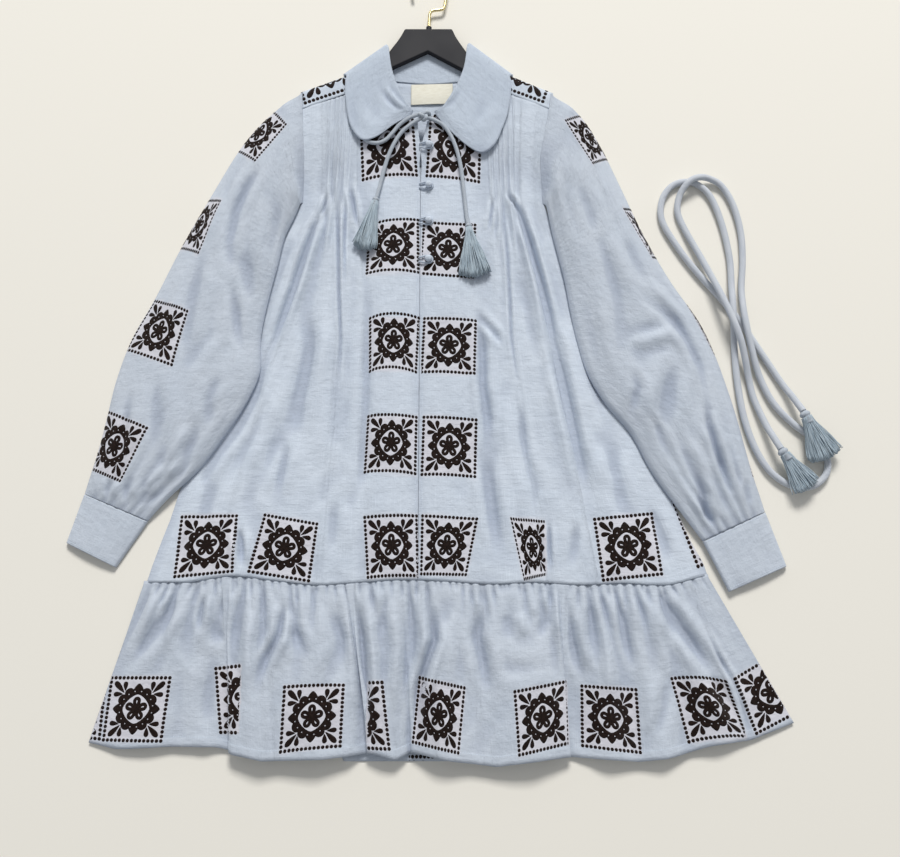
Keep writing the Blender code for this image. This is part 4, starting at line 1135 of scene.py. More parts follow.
RUFFLE_CREASES = [
    # width and height of the crease, then x, y of its points
    (2.2, -2.6, -341, -189, -353, -214, -368, -247, -380, -275, -383, -292),
    (7.0, -4.6, -307, -194, -324, -220, -341, -247, -363, -280),
    (4.0, -3.6, -281, -194, -283, -216, -285, -243),
    (7.0, -1.6, -275, -223, -265, -241, -248, -247),
    (9.0, -2.4, -264, -264, -271, -302, -271, -351),
    (4.5, -4.4, -192, -194, -189, -214, -193, -242, -207, -270, -217, -300),
    (6.0, -2.2, -184, -231, -170, -247, -160, -270),
    (7.0, 3.0, -221, -203, -226, -247, -228, -313),
    (8.0, 3.0, -150, -203, -144, -258, -148, -302),
    (6.0, -6.0, -106, -198, -101, -236, -97, -280, -93, -358),
    (7.0, 3.4, -66, -203, -59, -258, -64, -335),
    (5.0, -6.0, -22, -207, -18, -247, -26, -272, -35, -302, -40, -358),
    (8.0, 3.0, 6, -203, 0, -247, -2, -302),
    (7.0, -4.6, 36, -207, 31, -245, 37, -270, 44, -313),
    (7.0, -0.8, 45, -272, 70, -279, 98, -278, 126, -268),
    (8.0, 3.0, 80, -214, 84, -247),
    (6.0, -4.8, 132, -203, 138, -247, 144, -272, 152, -294),
    (4.5, -3.0, 191, -199, 198, -242, 209, -284),
    (8.0, 2.8, 171, -203, 176, -258, 180, -335),
    (7.0, -5.6, 236, -191, 248, -211, 264, -237, 282, -265, 298, -291),
    (8.0, -3.0, 290, -283, 304, -304, 318, -337),
    (2.4, -2.4, 288, -230, 302, -263, 319, -295, 337, -355),
    (7.0, -2.4, 240, -294, 236, -326, 230, -358),
    (8.0, 2.6, 223, -214, 237, -258, 248, -302),
    (6.0, -2.2, -131, -216, -122, -247, -124, -278),
    (5.0, -2.6, 103, -198, 108, -225, 102, -250),
    (5.0, -2.6, -74, -194, -76, -216, -75, -247),
]
x, y = ruffle_grid[:, :, 0], ruffle_grid[:, :, 1]
from_ends = np.minimum(seam_at - SEAM_LEFT_X, SEAM_RIGHT_X - seam_at)
ends_x = np.clip(from_ends / 16, 0, 1)[None, :]
unfolded = ends_x * (1 - np.clip(fold_at, 0, 1))[None, :]
free = unfolded * eased(downs * 14)[:, None]
hem_band = 0.45 * eased((downs - 0.938) / 0.008)[:, None]
hem_groove = -0.35 * np.exp(-(((downs - 0.944) / 0.004) ** 2))[:, None]
wrinkled = gathers * unfolded
wrinkled = wrinkled + 0.75 * creases(x, y, RUFFLE_CREASES) * free + linen_wrinkles(x, y, 57, 1.3) * free
raised = ruffle_grid[:, :, 2] + wrinkled
ruffle_grid[:, :, 2] = np.maximum(raised, 1.7 + 0.12 * raised) + (hem_band + hem_groove) * ends_x
ruffle_front = cloth_shell("ruffle_tier_front", ruffle_grid, painted_shade_linen, sewn_on="ruffle", up=True)
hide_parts("ruffle_front")

back_tier = []
tier_x = np.linspace(0, 1, 220)
for down in np.linspace(0, 1, 44):
    at_seam = -351 + 647 * tier_x
    at_hem = -400 + 782 * tier_x
    top_y = seam_y(at_seam) - 1.0
    hem_y = read(HEM, at_hem, 1) + 2.0
    hem_y = np.where((at_hem > -120) & (at_hem < 100), np.minimum(hem_y, -379), hem_y)
    x = at_seam + (at_hem - at_seam) * down
    back_tier.append(np.stack([x, top_y + (hem_y - top_y) * down, np.full_like(x, 0.55)], axis=1))
ruffle_back = cloth_shell("ruffle_tier_back", np.array(back_tier), painted_shade_linen, sewn_on="back_tier", up=True)
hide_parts("ruffle_back")


# Sleeves: full linen tubes laid over the body's sides, gathered into plain deep cuffs.
# Each is set in at the armhole and keeps long soft folds down to the cuff.
LEFT_SLEEVE = [
    # inner x, y, outer x, y, height, gather
    (-185.9, 290, -191.8, 437, 9.0, 0.0),
    (-188.0, 284, -226, 413, 10.0, 0.0),
    (-194, 267, -263, 367, 12.0, 0.0),
    (-205, 240, -302, 292, 14.0, 0.0),
    (-213, 200, -333, 228, 15.0, 0.0),
    (-222, 158, -361, 162, 16.0, 0.0),
    (-229, 112, -385, 112, 16.0, 0.0),
    (-229, 66, -400, 62, 16.0, 0.1),
    (-246, 24, -408, 17, 15.0, 0.3),
    (-268, -12, -414, -18, 14.0, 0.6),
    (-294, -50, -420, -45, 12.0, 0.9),
    (-328, -84, -425, -66, 9.0, 0.8),
    (-352.6, -111.6, -428.0, -79.6, 5.0, 0.7),
]
RIGHT_SLEEVE = [
    (118.4, 290, 133.0, 436, 9.0, 0.0),
    (121.0, 280, 166, 409, 10.0, 0.0),
    (124, 262, 191, 365, 12.0, 0.0),
    (128, 240, 214, 310, 14.0, 0.0),
    (134, 214, 240, 246, 15.0, 0.0),
    (141, 182, 270, 186, 16.0, 0.0),
    (147, 142, 302, 134, 16.0, 0.0),
    (154, 106, 319, 93, 16.0, 0.1),
    (165, 66, 332, 50, 16.0, 0.2),
    (186, 28, 342, 10, 15.0, 0.4),
    (214, -8, 349, -24, 14.0, 0.6),
    (236, -52, 356, -56, 12.0, 0.9),
    (262, -92, 362, -79, 9.0, 0.9),
    (292.8, -135.4, 367.6, -100.8, 5.0, 1.0),
]
LEFT_SLEEVE_CREASES = [
    # width and height of the crease, then x, y of its points
    (6.0, -4.6, -233, 338, -253, 304, -265, 271, -270, 228, -266, 183),
    (5.0, -2.4, -267, 189, -256, 125, -244, 78),
    (9.0, -3.0, -298, 224, -312, 157, -315, 106, -311, 71),
    (9.0, -2.6, -258, 224, -245, 193, -235, 141),
    (8.0, 2.6, -268, 162, -275, 106, -293, 73, -313, 36),
    (8.0, 2.4, -316, 36, -320, -5, -329, -51),
    (8.0, -3.0, -272, 66, -285, 31, -287, -7),
    (6.0, -3.2, -294, -7, -307, -32, -320, -55),
    (6.0, -4.8, -298, -32, -317, -65, -340, -84, -366, -95),
    (5.0, -2.8, -325, -53, -344, -79),
    (9.0, 2.4, -234, 301, -236, 235, -229, 183),
    (7.0, -2.6, -206, 293, -214, 245, -223, 206),
    (5.0, -2.2, -380, 44, -384, -5, -388, -53),
    (4.0, -2.2, -396, -62, -402, -84),
    (4.0, -2.4, -375, -67, -380, -91),
    (4.0, 2.4, -361, -62, -369, -88),
    (7.0, 2.2, -284, 315, -292, 269, -297, 222),
    (7.0, -2.2, -345, 56, -347, 7, -352, -32),
    (6.0, 2.2, -258, 29, -278, -7, -298, -32),
]
RIGHT_SLEEVE_CREASES = [
    # width and height of the crease, then x, y of its points
    (6.0, -3.4, 117, 356, 120, 318, 125, 283, 135, 235),
    (8.0, -2.8, 178, 253, 192, 206, 201, 170, 210, 119),
    (9.0, -1.8, 212, 240, 230, 198, 243, 170),
    (6.0, -4.0, 245, 157, 272, 131, 288, 100, 300, 71, 304, 34),
    (5.0, -3.6, 304, 41, 305, 1, 314, -32, 323, -67, 334, -105),
    (9.0, -2.8, 267, 81, 259, 31, 253, -7),
    (5.0, -2.2, 213, 73, 223, 44, 215, 22, 209, 2),
    (7.0, 2.6, 206, 98, 234, 103, 262, 111, 285, 93),
    (4.5, -5.0, 285, -58, 294, -82, 298, -105, 314, -120),
    (3.6, -3.4, 301, 22, 312, -29, 331, -86, 339, -105),
    (4.0, -3.0, 275, -67, 294, -95, 307, -123),
    (6.0, 3.0, 316, -43, 328, -77, 338, -102),
    (6.0, 2.6, 282, -17, 299, -53, 311, -88),
    (8.0, 2.2, 182, 157, 185, 106, 193, 56),
    (6.0, -2.4, 237, 31, 247, -17, 263, -62),
    (7.0, 2.4, 239, 66, 237, 19, 249, -17),
    (4.0, -2.6, 347, -62, 351, -93),
    (4.0, 2.2, 335, -17, 347, -65),
    (8.0, 2.2, 232, 183, 264, 157, 301, 119),
    (7.0, -2.0, 160, 315, 173, 268, 180, 235),
]
EDGE_RISE = 3.8


def lift_over_body(x, y, side):
    """Height of a sleeve's lower layer: raised where it lies over the body's side."""
    edge = read(BODY_SIDE, y, side)
    outside = edge - x if side == LEFT else x - edge
    near = 1 - eased((outside - 8) / 26)
    below_armhole = 1 - eased((y - 296) / 34)
    return 0.6 + 4.8 * near * below_armhole


def armhole_rise(y):
    """Height of the body's cloth where the sleeve is set in."""
    chest = read(CHEST_HEIGHT, y, 1)
    return chest + (2.4 - chest) * eased((342 - y) / 42)


def tube_of_cloth(sections, side, rows, over, under, arch, table, gather_count, seed, set_in=False):
    """The flattened loops of a sleeve or cuff, with its creases on the upper layer."""
    sections = through(sections, np.linspace(0, len(sections) - 1, rows))
    s_over = 0.5 - 0.5 * np.cos(np.linspace(0, math.pi, over))
    s_under = np.linspace(1, 0, under + 2)[1:-1]
    grid = []
    for row, (inner_x, inner_y, outer_x, outer_y, rise, gather) in enumerate(sections):
        x = inner_x + (outer_x - inner_x) * s_over
        y = inner_y + (outer_y - inner_y) * s_over
        hump = np.sin(math.pi * s_over).clip(0, 1) ** arch
        free = np.clip(2.2 * hump - 0.5, 0, 1)
        pleat = gather * np.sin(2 * math.pi * gather_count * (s_over + 0.012 * np.sin(17 * s_over + seed)))
        edge_rise = EDGE_RISE * np.clip(hump * 3 + 0.35, 0, 1)
        z = lift_over_body(x, y, side) + edge_rise + rise * hump + pleat * free
        away = np.clip(min(row, rows - 1 - row) / 5, 0, 1)
        z = z + (0.62 * creases(x, y, table) + linen_wrinkles(x, y, seed, 1.1)) * free * away
        if set_in:
            # The sleeve's head starts at the armhole, just inside the body's edge, and rises from it.
            near = 1 - eased((row - 1) / 9)
            z = z + (armhole_rise(y) + 0.4 + 1.0 * eased((y - 400) / 10) - z) * near
            inward = 2.4 if side == LEFT else -2.4
            x = x + (read(BODY_SIDE, y, side) + inward - x) * (1 - eased(row / 7))
        low_x = inner_x + (outer_x - inner_x) * s_under
        low_y = inner_y + (outer_y - inner_y) * s_under
        low_z = lift_over_body(low_x, low_y, side)
        upper = np.stack([x, y, z], axis=1)
        lower = np.stack([low_x, low_y, low_z], axis=1)
        grid.append(np.concatenate([upper, lower]))
    return np.array(grid)


TILES += [
    ("sleeve_left", -282, 370, -244, 341, -208, 392, -239, 430, 0, -300, -185),
    ("sleeve_left", -342, 232, -308, 217, -285, 286, -312, 294, 0, -340, -200),
    ("sleeve_left", -391, 97, -331, 73, -317, 141, -360, 158, 0, -400, -200),
    ("sleeve_left", -428, -47, -384, -66, -356, -4, -410, 20, 0, -440, -200),
    ("sleeve_right", 179, 338, 206, 352, 180, 415, 147, 398, 0, 100, 300),
    ("sleeve_right", 249, 214, 268, 218, 237, 281, 216, 277, 0, 150, 300),
    ("sleeve_right", 319, 92, 328, 95, 298, 156, 290, 153, 0, 200, 400),
    ("sleeve_right", 356, -58, 368, -55, 359, 1, 348, -1, 0, 200, 400),
]
left_grid = tube_of_cloth(
    LEFT_SLEEVE, LEFT, rows=130, over=96, under=30, arch=0.72,
    table=LEFT_SLEEVE_CREASES, gather_count=7, seed=71, set_in=True,
)
right_grid = tube_of_cloth(
    RIGHT_SLEEVE, RIGHT, rows=130, over=96, under=30, arch=0.72,
    table=RIGHT_SLEEVE_CREASES, gather_count=7, seed=83, set_in=True,
)
sleeve_left = cloth_shell(
    "left_full_sleeve", left_grid, painted_shade_linen, around=True, sewn_on="sleeve_left", up=False
)
sleeve_right = cloth_shell(
    "right_full_sleeve", right_grid, painted_shade_linen, around=True, sewn_on="sleeve_right", up=True
)
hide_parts("sleeve_left")
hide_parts("sleeve_right")


def cuff_sections(seam_inner, seam_outer, end_inner, end_outer):
    rows = []
    for down in (0.0, 0.33, 0.67, 1.0):
        inner = [a + (b - a) * down for a, b in zip(seam_inner, end_inner)]
        outer = [a + (b - a) * down for a, b in zip(seam_outer, end_outer)]
        rows.append((*inner, *outer, 4.6 - 1.2 * down, 0.0))
    return rows


CUFF_CORNERS = {
    # seam inner, seam outer, end inner, end outer
    "left": ((-352.8, -112.1), (-428.2, -80.1), (-386, -165), (-444.4, -137)),
    "right": ((293.0, -135.9), (367.8, -101.3), (320, -193), (388, -164)),
}
CUFF_MM = 1.4
cuffs = {}
for hand, side in (("left", LEFT), ("right", RIGHT)):
    node = f"cuff_{hand}"
    cuff_grid = tube_of_cloth(
        cuff_sections(*CUFF_CORNERS[hand]), side, rows=30, over=50, under=18, arch=0.6,
        table=[], gather_count=1, seed=5,
    )
    cuffs[node] = cloth_shell(
        f"{hand}_deep_cuff", cuff_grid, painted_shade_linen, around=True, thick_mm=CUFF_MM, up=side == RIGHT
    )
    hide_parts(node)


# Collar: two rounded wings of doubled linen that fall from a stand round the neck.
# It turns over behind the neck, and its wings lie down on the shoulders and the chest.
COLLAR_MM = 1.5
COLLAR = [
    # roll x, y, outer x, y, height, lift; a height of 0 follows the chest
    (-46.5, 408.5, -49.0, 403.5, 0, 1.0),
    (-53.0, 416.0, -70.0, 389.5, 0, 3.4),
    (-58.0, 424.0, -89.0, 373.5, 0, 5.5),
    (-63.0, 434.0, -105.0, 367.0, 0, 5.5),
    (-67.0, 445.0, -117.0, 373.0, 0, 4.0),
    (-71.0, 456.0, -127.5, 394.0, 0, 2.2),
    (-75.0, 472.0, -133.0, 429.0, 0, 1.6),
    (-77.5, 488.0, -133.5, 449.0, 0, 1.6),
    (-79.0, 500.5, -132.5, 458.5, 14.6, 0),
    (-81.8, 504.8, -135.4, 462.2, 12.6, 0),
    (-83.0, 506.3, -136.6, 464.2, 7.6, 0),
    (-81.8, 504.8, -135.4, 462.2, 2.6, 0),
    (-78.5, 500.5, -132.0, 458.0, 0.6, 0),
    (-62.0, 503.0, -104.0, 444.0, 0.6, 0),
    (-45.0, 504.0, -66.0, 436.0, 0.6, 0),
    (-28.0, 504.0, -28.0, 434.0, 0.6, 0),
    (-11.0, 504.0, 10.0, 436.0, 0.6, 0),
    (6.0, 503.0, 48.0, 444.0, 0.6, 0),
    (21.5, 502.5, 76.0, 457.5, 0.6, 0),
    (24.8, 506.8, 79.4, 461.4, 2.6, 0),
    (26.0, 508.3, 80.6, 463.4, 7.6, 0),
    (24.8, 506.8, 79.4, 461.4, 12.6, 0),
    (22.0, 502.5, 76.6, 457.5, 14.6, 0),
    (20.5, 488.0, 78.0, 448.0, 0, 1.6),
    (18.0, 472.0, 77.0, 428.0, 0, 1.6),
    (13.0, 456.0, 73.0, 405.0, 0, 1.8),
    (8.0, 445.0, 66.0, 384.0, 0, 2.4),
    (3.0, 434.0, 56.0, 362.0, 0, 3.4),
    (-2.0, 424.0, 41.0, 351.5, 0, 3.4),
    (-8.0, 416.0, 24.0, 359.0, 0, 3.0),
    (-14.0, 411.0, 4.0, 377.5, 0, 1.8),
    (-20.0, 408.0, -16.0, 401.0, 0, 1.0),
]
COLLAR_CREASES = [
    # width and height of the crease, then x, y of its points
    (2.6, 1.5, -84, 446, -76, 431, -66, 419, -55, 408),
    (3.0, -0.5, -88, 440, -80, 425, -70, 413, -58, 404),
    (2.6, 1.2, 8, 438, -2, 424, -12, 413),
    (7.0, 0.6, -112, 420, -104, 392, -92, 376),
    (7.0, 0.6, 58, 420, 48, 392, 36, 372),
]
collar_rows = []
for roll_x, roll_y, outer_x, outer_y, height, lift in COLLAR:
    s = np.linspace(0, 1, 30)
    x = roll_x + (outer_x - roll_x) * s
    y = roll_y + (outer_y - roll_y) * s
    z = np.full_like(x, height)
    if height == 0:
        z = read(CHEST_HEIGHT, y, 1) + 2.9 + lift * (0.35 + 0.65 * s) + 1.6 * (1 - s) ** 3
        z = z + creases(x, y, COLLAR_CREASES)
    collar_rows.append(np.stack([x, y, z], axis=1))
collar_grid = through(np.array(collar_rows), np.linspace(0, len(COLLAR) - 1, 190))
plain_linen = linen_finish("plain_linen", (0.545, 0.612, 0.705), (0.515, 0.582, 0.680), with_ground=False)
collar = cloth_shell("rounded_collar", collar_grid, plain_linen, thick_mm=COLLAR_MM, up=True)
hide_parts("collar")

stand_rows = []
for x, seam, roll in (
    (-75.0, 464.0, 493.0),
    (-70.0, 458.4, 499.0),
    (-56.0, 456.6, 501.4),
    (-28.0, 454.6, 502.0),
    (0.0, 456.6, 501.4),
    (13.0, 458.4, 499.0),
    (18.0, 464.0, 493.0),
):
    stand_rows.append([(x, seam + (roll - seam) * s, 2.3) for s in (0.0, 0.25, 0.5, 0.75, 1.0)])
collar_stand = cloth_shell("neck_stand", finer(stand_rows, 60, 24), plain_linen, up=True)
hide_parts("collar_stand")


# Neck label: a plain cream satin ribbon that lies below the neck seam, left bare.
# Its free lower edge lifts a little from the cloth.
LABEL_MM = 0.5


def satin_finish():
    finish = Finish("cream_satin", 0.5, 0.2, (1.0, 0.98, 0.9))
    ribs = finish.threads(0.5, "Y", wobble=0.3)
    patches = finish.speckle((0.15, 0.4), 3)
    shade = finish.mixed(finish.ranged(patches, 0.3, 0.7, 0, 1), (0.72, 0.69, 0.58), (0.80, 0.78, 0.68))
    finish.coloured(shade)
    finish.raised(ribs, 0.06)
    finish.raised(finish.speckle((0.09, 0.09), 3), 0.5)
    return finish.material


label_rows = []
label_x = np.linspace(-50, 3.5, 40)
label_places = np.linspace(0, 3, 22)
label_y = through([453.0, 444.0, 434.0, 424.0], label_places)
label_height = through([3.5, 4.4, 4.9, 4.2], label_places)
for y, height in zip(label_y, label_height):
    ripple = 0.5 * np.sin(0.09 * (label_x + 40)) * (453 - y) / 29
    label_rows.append(np.stack([label_x, y + 0.03 * (label_x + 50), height + ripple], axis=1))
label = cloth_shell("bare_label", np.array(label_rows), satin_finish(), thick_mm=LABEL_MM, up=True)
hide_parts("neck_label")


# Hanger: one moulded piece of black plastic, with a turned gold-coloured wire hook.
# The wire steps aside above its socket, then goes round into the open hook.
HANGER_LOW_MM = 2.9
HANGER_HIGH_MM = 11.2
WIRE_MM = 4.0
SOCKET_MM = 7.2
HANGER = [
    (-58.4, 529.5),
    (2.4, 529.5),
    (4.2, 526),
    (7, 519),
    (11.6, 511),
    (17.4, 502),
    (22.4, 494),
    (28, 484),
    (48, 465),
    (78, 452),
    (104, 440),
    (116, 428),
    (112, 416),
    (98, 421),
    (60, 441),
    (14, 472),
    (-28.5, 497),
    (-76, 472.6),
    (-114, 441),
    (-152, 421),
    (-170, 414),
    (-174, 428),
    (-162, 440),
    (-136, 450),
    (-104, 464),
    (-85, 484),
    (-80, 494),
    (-74, 503),
    (-68, 511.6),
    (-63, 520),
    (-60.2, 526),
]
count = len(HANGER)
hanger_points = [(x, y, height) for height in (HANGER_LOW_MM, HANGER_HIGH_MM) for x, y in HANGER]
hanger_faces = [tuple(range(count)), tuple(range(2 * count - 1, count - 1, -1))]
for i in range(count):
    j = (i + 1) % count
    hanger_faces.append((j, i, count + i, count + j))


def plastic_finish():
    """Black moulded plastic with a fine grain and unevenly worn patches."""
    made = plain_finish("black_plastic", (0.018, 0.018, 0.022), 0.6)
    tree = made.node_tree
    shader = tree.nodes["Principled BSDF"]
    shader.inputs["Specular IOR Level"].default_value = 0.22
    place = tree.nodes.new("ShaderNodeTexCoord")
    grain = tree.nodes.new("ShaderNodeTexNoise")
    grain.inputs["Scale"].default_value = 900
    bump = tree.nodes.new("ShaderNodeBump")
    bump.inputs["Distance"].default_value = 0.00004
    worn = tree.nodes.new("ShaderNodeTexNoise")
    worn.inputs["Scale"].default_value = 22
    spread = tree.nodes.new("ShaderNodeMapRange")
    spread.inputs["To Min"].default_value = 0.5
    spread.inputs["To Max"].default_value = 0.68
    tree.links.new(place.outputs["Object"], grain.inputs["Vector"])
    tree.links.new(place.outputs["Object"], worn.inputs["Vector"])
    tree.links.new(grain.outputs["Fac"], bump.inputs["Height"])
    tree.links.new(worn.outputs["Fac"], spread.inputs["Value"])
    tree.links.new(spread.outputs["Result"], shader.inputs["Roughness"])
    tree.links.new(bump.outputs["Normal"], shader.inputs["Normal"])
    return made


black_plastic = plastic_finish()
hanger = new_piece("moulded_hanger", hanger_points, [face[::-1] for face in hanger_faces], black_plastic)
hanger.data.shade_flat()
edges = hanger.modifiers.new("rounded_edges", "BEVEL")
edges.width = 0.0016
edges.segments = 4
edges.limit_method = "ANGLE"
edges.angle_limit = math.radians(40)
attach(hanger, "root")
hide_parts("hanger")

HOOK = [
    (-27.5, 531.6, 6.5),
    (-27.0, 545, 6.5),
    (-26.0, 555, 6.5),
    (-22.0, 559, 6.5),
    (-12.0, 560.5, 6.5),
    (-8.0, 563, 6.5),
    (-6.0, 572, 6.5),
    (-4.0, 588, 6.5),
    (-8.0, 602, 6.5),
    (-19.0, 611, 6.5),
    (-33.0, 611, 6.5),
    (-45.0, 602, 6.5),
    (-49.0, 589, 6.5),
    (-48.0, 580, 6.5),
]
gold_metal = plain_finish("gold_metal", (0.78, 0.66, 0.36), 0.24)
gold_metal.node_tree.nodes["Principled BSDF"].inputs["Metallic"].default_value = 1.0
hook = round_cord("gold_hook", HOOK, WIRE_MM, 160, gold_metal, 20)[0]
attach(hook, "root")
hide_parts("hanger_hook")
HOOK_SOCKET = [
    (-27.8, 524.0, 6.8),
    (-27.6, 528.0, 6.8),
    (-27.5, 531.0, 6.7),
    (-27.4, 534.0, 6.6),
]
socket = round_cord("hook_socket", HOOK_SOCKET, SOCKET_MM, 14, black_plastic, 24)[0]
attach(socket, "root")


# Buttons: four balls covered in the dress linen, on the right edge of the front.
# Each is held by a narrow sewn loop that comes from the left edge.
BUTTONS = [
    # y, height of the cloth under it
    (363, 12.6),
    (310, 8.7),
    (262, 9.2),
    (211, 9.4),
]
BUTTON_X_MM = -26.5
BALL_RADIUS_MM = 4.4
LOOP_THICK_MM = 2.2
for number, (y, cloth_top) in enumerate(BUTTONS, start=1):
    rings, sides = 25, 32
    points, grain = [], []
    for ring in range(rings):
        rise = math.pi * (0.01 + 0.98 * ring / (rings - 1))
        for side_number in range(sides):
            angle = 2 * math.pi * side_number / sides
            pucker = 1 + 0.028 * math.cos(9 * angle + number) * max(0.0, math.cos(rise)) ** 2
            wide = BALL_RADIUS_MM * math.sin(rise) * pucker
            points.append((
                BUTTON_X_MM + wide * math.cos(angle),
                y + wide * math.sin(angle),
                cloth_top - 0.3 + BALL_RADIUS_MM * (1 - 0.94 * math.cos(rise)),
            ))
            grain.append((abs(math.pi - angle) * 3, rise * BALL_RADIUS_MM))
    ball = new_piece(f"covered_button_{number}", points, ring_faces(rings, sides), blue_linen, grain)
    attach(ball, "root")
    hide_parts(f"button_{number}")
    height = cloth_top + 1.0
    loop_route = [
        (-38.4, y + 2.6, height - 1.4),
        (-35.4, y + 3.2, height),
        (-29.5, y + 4.6, height),
        (-24.0, y + 4.4, height),
        (-21.4, y, height),
        (-24.0, y - 4.4, height),
        (-29.5, y - 4.6, height),
        (-35.4, y - 3.2, height),
        (-38.4, y - 2.6, height - 1.4),
    ]
    loop = round_cord(f"sewn_loop_{number}", loop_route, LOOP_THICK_MM, 90, plain_linen, 10)[0]
    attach(loop, "root")
    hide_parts(f"button_loop_{number}")


# Embroidery: dark brown satin-stitched squares, a dotted frame round a scalloped ring.
# Each holds a five-petalled flower in a rounded diamond and a three-leaf sprig in each corner.
# The stitches stand a little proud of the linen and follow its folds.
STITCH_RISE_MM = 0.6
ABOVE_ALL_MM = 60.0


def embroidery_finish():
    finish = Finish("brown_embroidery", 0.55, 0.06, (0.5, 0.42, 0.38))
    # Painted sheen: the threads are painted a lighter brown in soft patches.
    sheen = finish.ranged(finish.speckle((0.35, 0.35), 3), 0.35, 0.7, 0, 1)
    finish.coloured(finish.mixed(sheen, (0.0085, 0.0045, 0.0035), (0.022, 0.011, 0.008)))
    finish.shader.inputs["Specular IOR Level"].default_value = 0.14
    finish.raised(finish.threads(0.45, "X", turn=25, wobble=1.5), 0.18)
    return finish.material


class Motif:
    """The flat drawing of one square, 2 units wide: points with their rise, and faces."""

    def __init__(self):
        self.points = []
        self.faces = []

    def strip(self, lines):
        """Quads between neighbouring lines of (x, y, rise) points."""
        base = len(self.points)
        count = len(lines[0])
        for line in lines:
            self.points += list(line)
        for row in range(len(lines) - 1):
            for i in range(count - 1):
                a = base + row * count + i
                self.faces.append((a, a + 1, a + count + 1, a + count))

    def leaf(self, root, tip, wide, steps=11):
        """A drop-shaped leaf, narrow at its root and full toward its rounded tip."""
        root, tip = np.array(root, float), np.array(tip, float)
        along = tip - root
        across = np.array([-along[1], along[0]]) / np.linalg.norm(along)
        lines = []
        for edge in (-1.0, -0.75, 0.0, 0.75, 1.0):
            line = []
            for step in range(steps):
                t = 0.5 - 0.5 * math.cos(math.pi * step / (steps - 1))
                half = wide / 2 * (0.08 + 1.75 * t**0.85 * math.sqrt(max(0.0, 1 - t**2.6)))
                point = root + along * t + across * half * edge
                line.append((point[0], point[1], 1 - edge * edge))
            lines.append(line)
        self.strip(lines)

    def dot(self, x, y, radius, sides=8):
        """A small raised knot of thread."""
        base = len(self.points)
        self.points.append((x, y, 1.0))
        for share, rise in ((0.72, 0.8), (1.0, 0.0)):
            for step in range(sides):
                angle = 2 * math.pi * (step + 0.5) / sides
                place = (x + share * radius * math.cos(angle), y + share * radius * math.sin(angle))
                self.points.append((*place, rise))
        for step in range(sides):
            after = (step + 1) % sides
            self.faces.append((base, base + 1 + step, base + 1 + after))
            inner, outer = base + 1, base + 1 + sides
            self.faces.append((inner + step, outer + step, outer + after, inner + after))

    def outline(self, path, wide):
        """A raised line of even width along a closed path."""
        path = np.array(path, float)
        ahead = np.roll(path, -1, axis=0) - np.roll(path, 1, axis=0)
        ahead /= np.linalg.norm(ahead, axis=1, keepdims=True)
        out = np.stack([-ahead[:, 1], ahead[:, 0]], axis=1)
        lines = []
        for edge in (-1.0, -0.6, 0.0, 0.6, 1.0):
            line = path + out * edge * wide / 2
            line = np.concatenate([line, line[:1]])
            lines.append([(x, y, 1 - edge * edge) for x, y in line])
        self.strip(lines)


def scallops(turn):
    """Reach of the ring's outer edge: a pointed tip on each axis, two round ones between."""
    reach = np.full_like(turn, 0.655)
    for number in range(12):
        angle = number * math.pi / 6
        on_axis = number % 3 == 0
        off = np.abs((turn - angle + math.pi) % (2 * math.pi) - math.pi)
        if on_axis:
            reach = np.maximum(reach, 0.83 - 0.85 * np.maximum(off, 0.02) ** 1.2)
        else:
            reach = np.maximum(reach, 0.62 + 0.13 * np.sqrt(np.clip(1 - (off / 0.26) ** 2, 0, 1)))
    return reach


def ring_of_scallops(motif):
    """A ring between a rounded diamond and twelve scallops, with sixteen seeds left open."""
    steps = 192
    turn = np.linspace(0, 2 * math.pi, steps + 1)
    diamond = 0.46 / (np.abs(np.cos(turn)) ** 1.5 + np.abs(np.sin(turn)) ** 1.5) ** (1 / 1.5)
    outer = scallops(turn)
    middle = 0.56 + 0.02 * np.abs(np.cos(2 * turn)) ** 4
    seed_turn = (turn * 16 / (2 * math.pi)) % 1 - 0.5
    open_half = 0.019 * np.sqrt(np.clip(1 - (seed_turn / 0.15) ** 2, 0.02, 1))
    is_seed = np.abs(seed_turn) < 0.16

    def ring(radius, rise):
        return [(r * math.cos(a), r * math.sin(a), rise) for r, a in zip(radius, turn)]

    motif.strip([
        ring(diamond, 0.0),
        ring(diamond + 0.025, 0.8),
        ring(diamond * 0.4 + (middle - open_half) * 0.6, 1.0),
        ring(middle - open_half, 0.45),
    ])
    motif.strip([
        ring(middle + open_half, 0.45),
        ring((middle + open_half) * 0.5 + outer * 0.5, 1.0),
        ring(outer - 0.03, 0.8),
        ring(outer, 0.0),
    ])
    low, high = middle - open_half, middle + open_half
    start = None
    for i in range(steps + 1):
        if is_seed[i % steps] or i == steps:
            if start is not None and i > start:
                cells = range(start, i + 1)
                motif.strip([
                    [(low[k] * math.cos(turn[k]), low[k] * math.sin(turn[k]), 0.45) for k in cells],
                    [(middle[k] * math.cos(turn[k]), middle[k] * math.sin(turn[k]), 0.6) for k in cells],
                    [(high[k] * math.cos(turn[k]), high[k] * math.sin(turn[k]), 0.45) for k in cells],
                ])
            start = None
        elif start is None:
            start = max(0, i - 1)


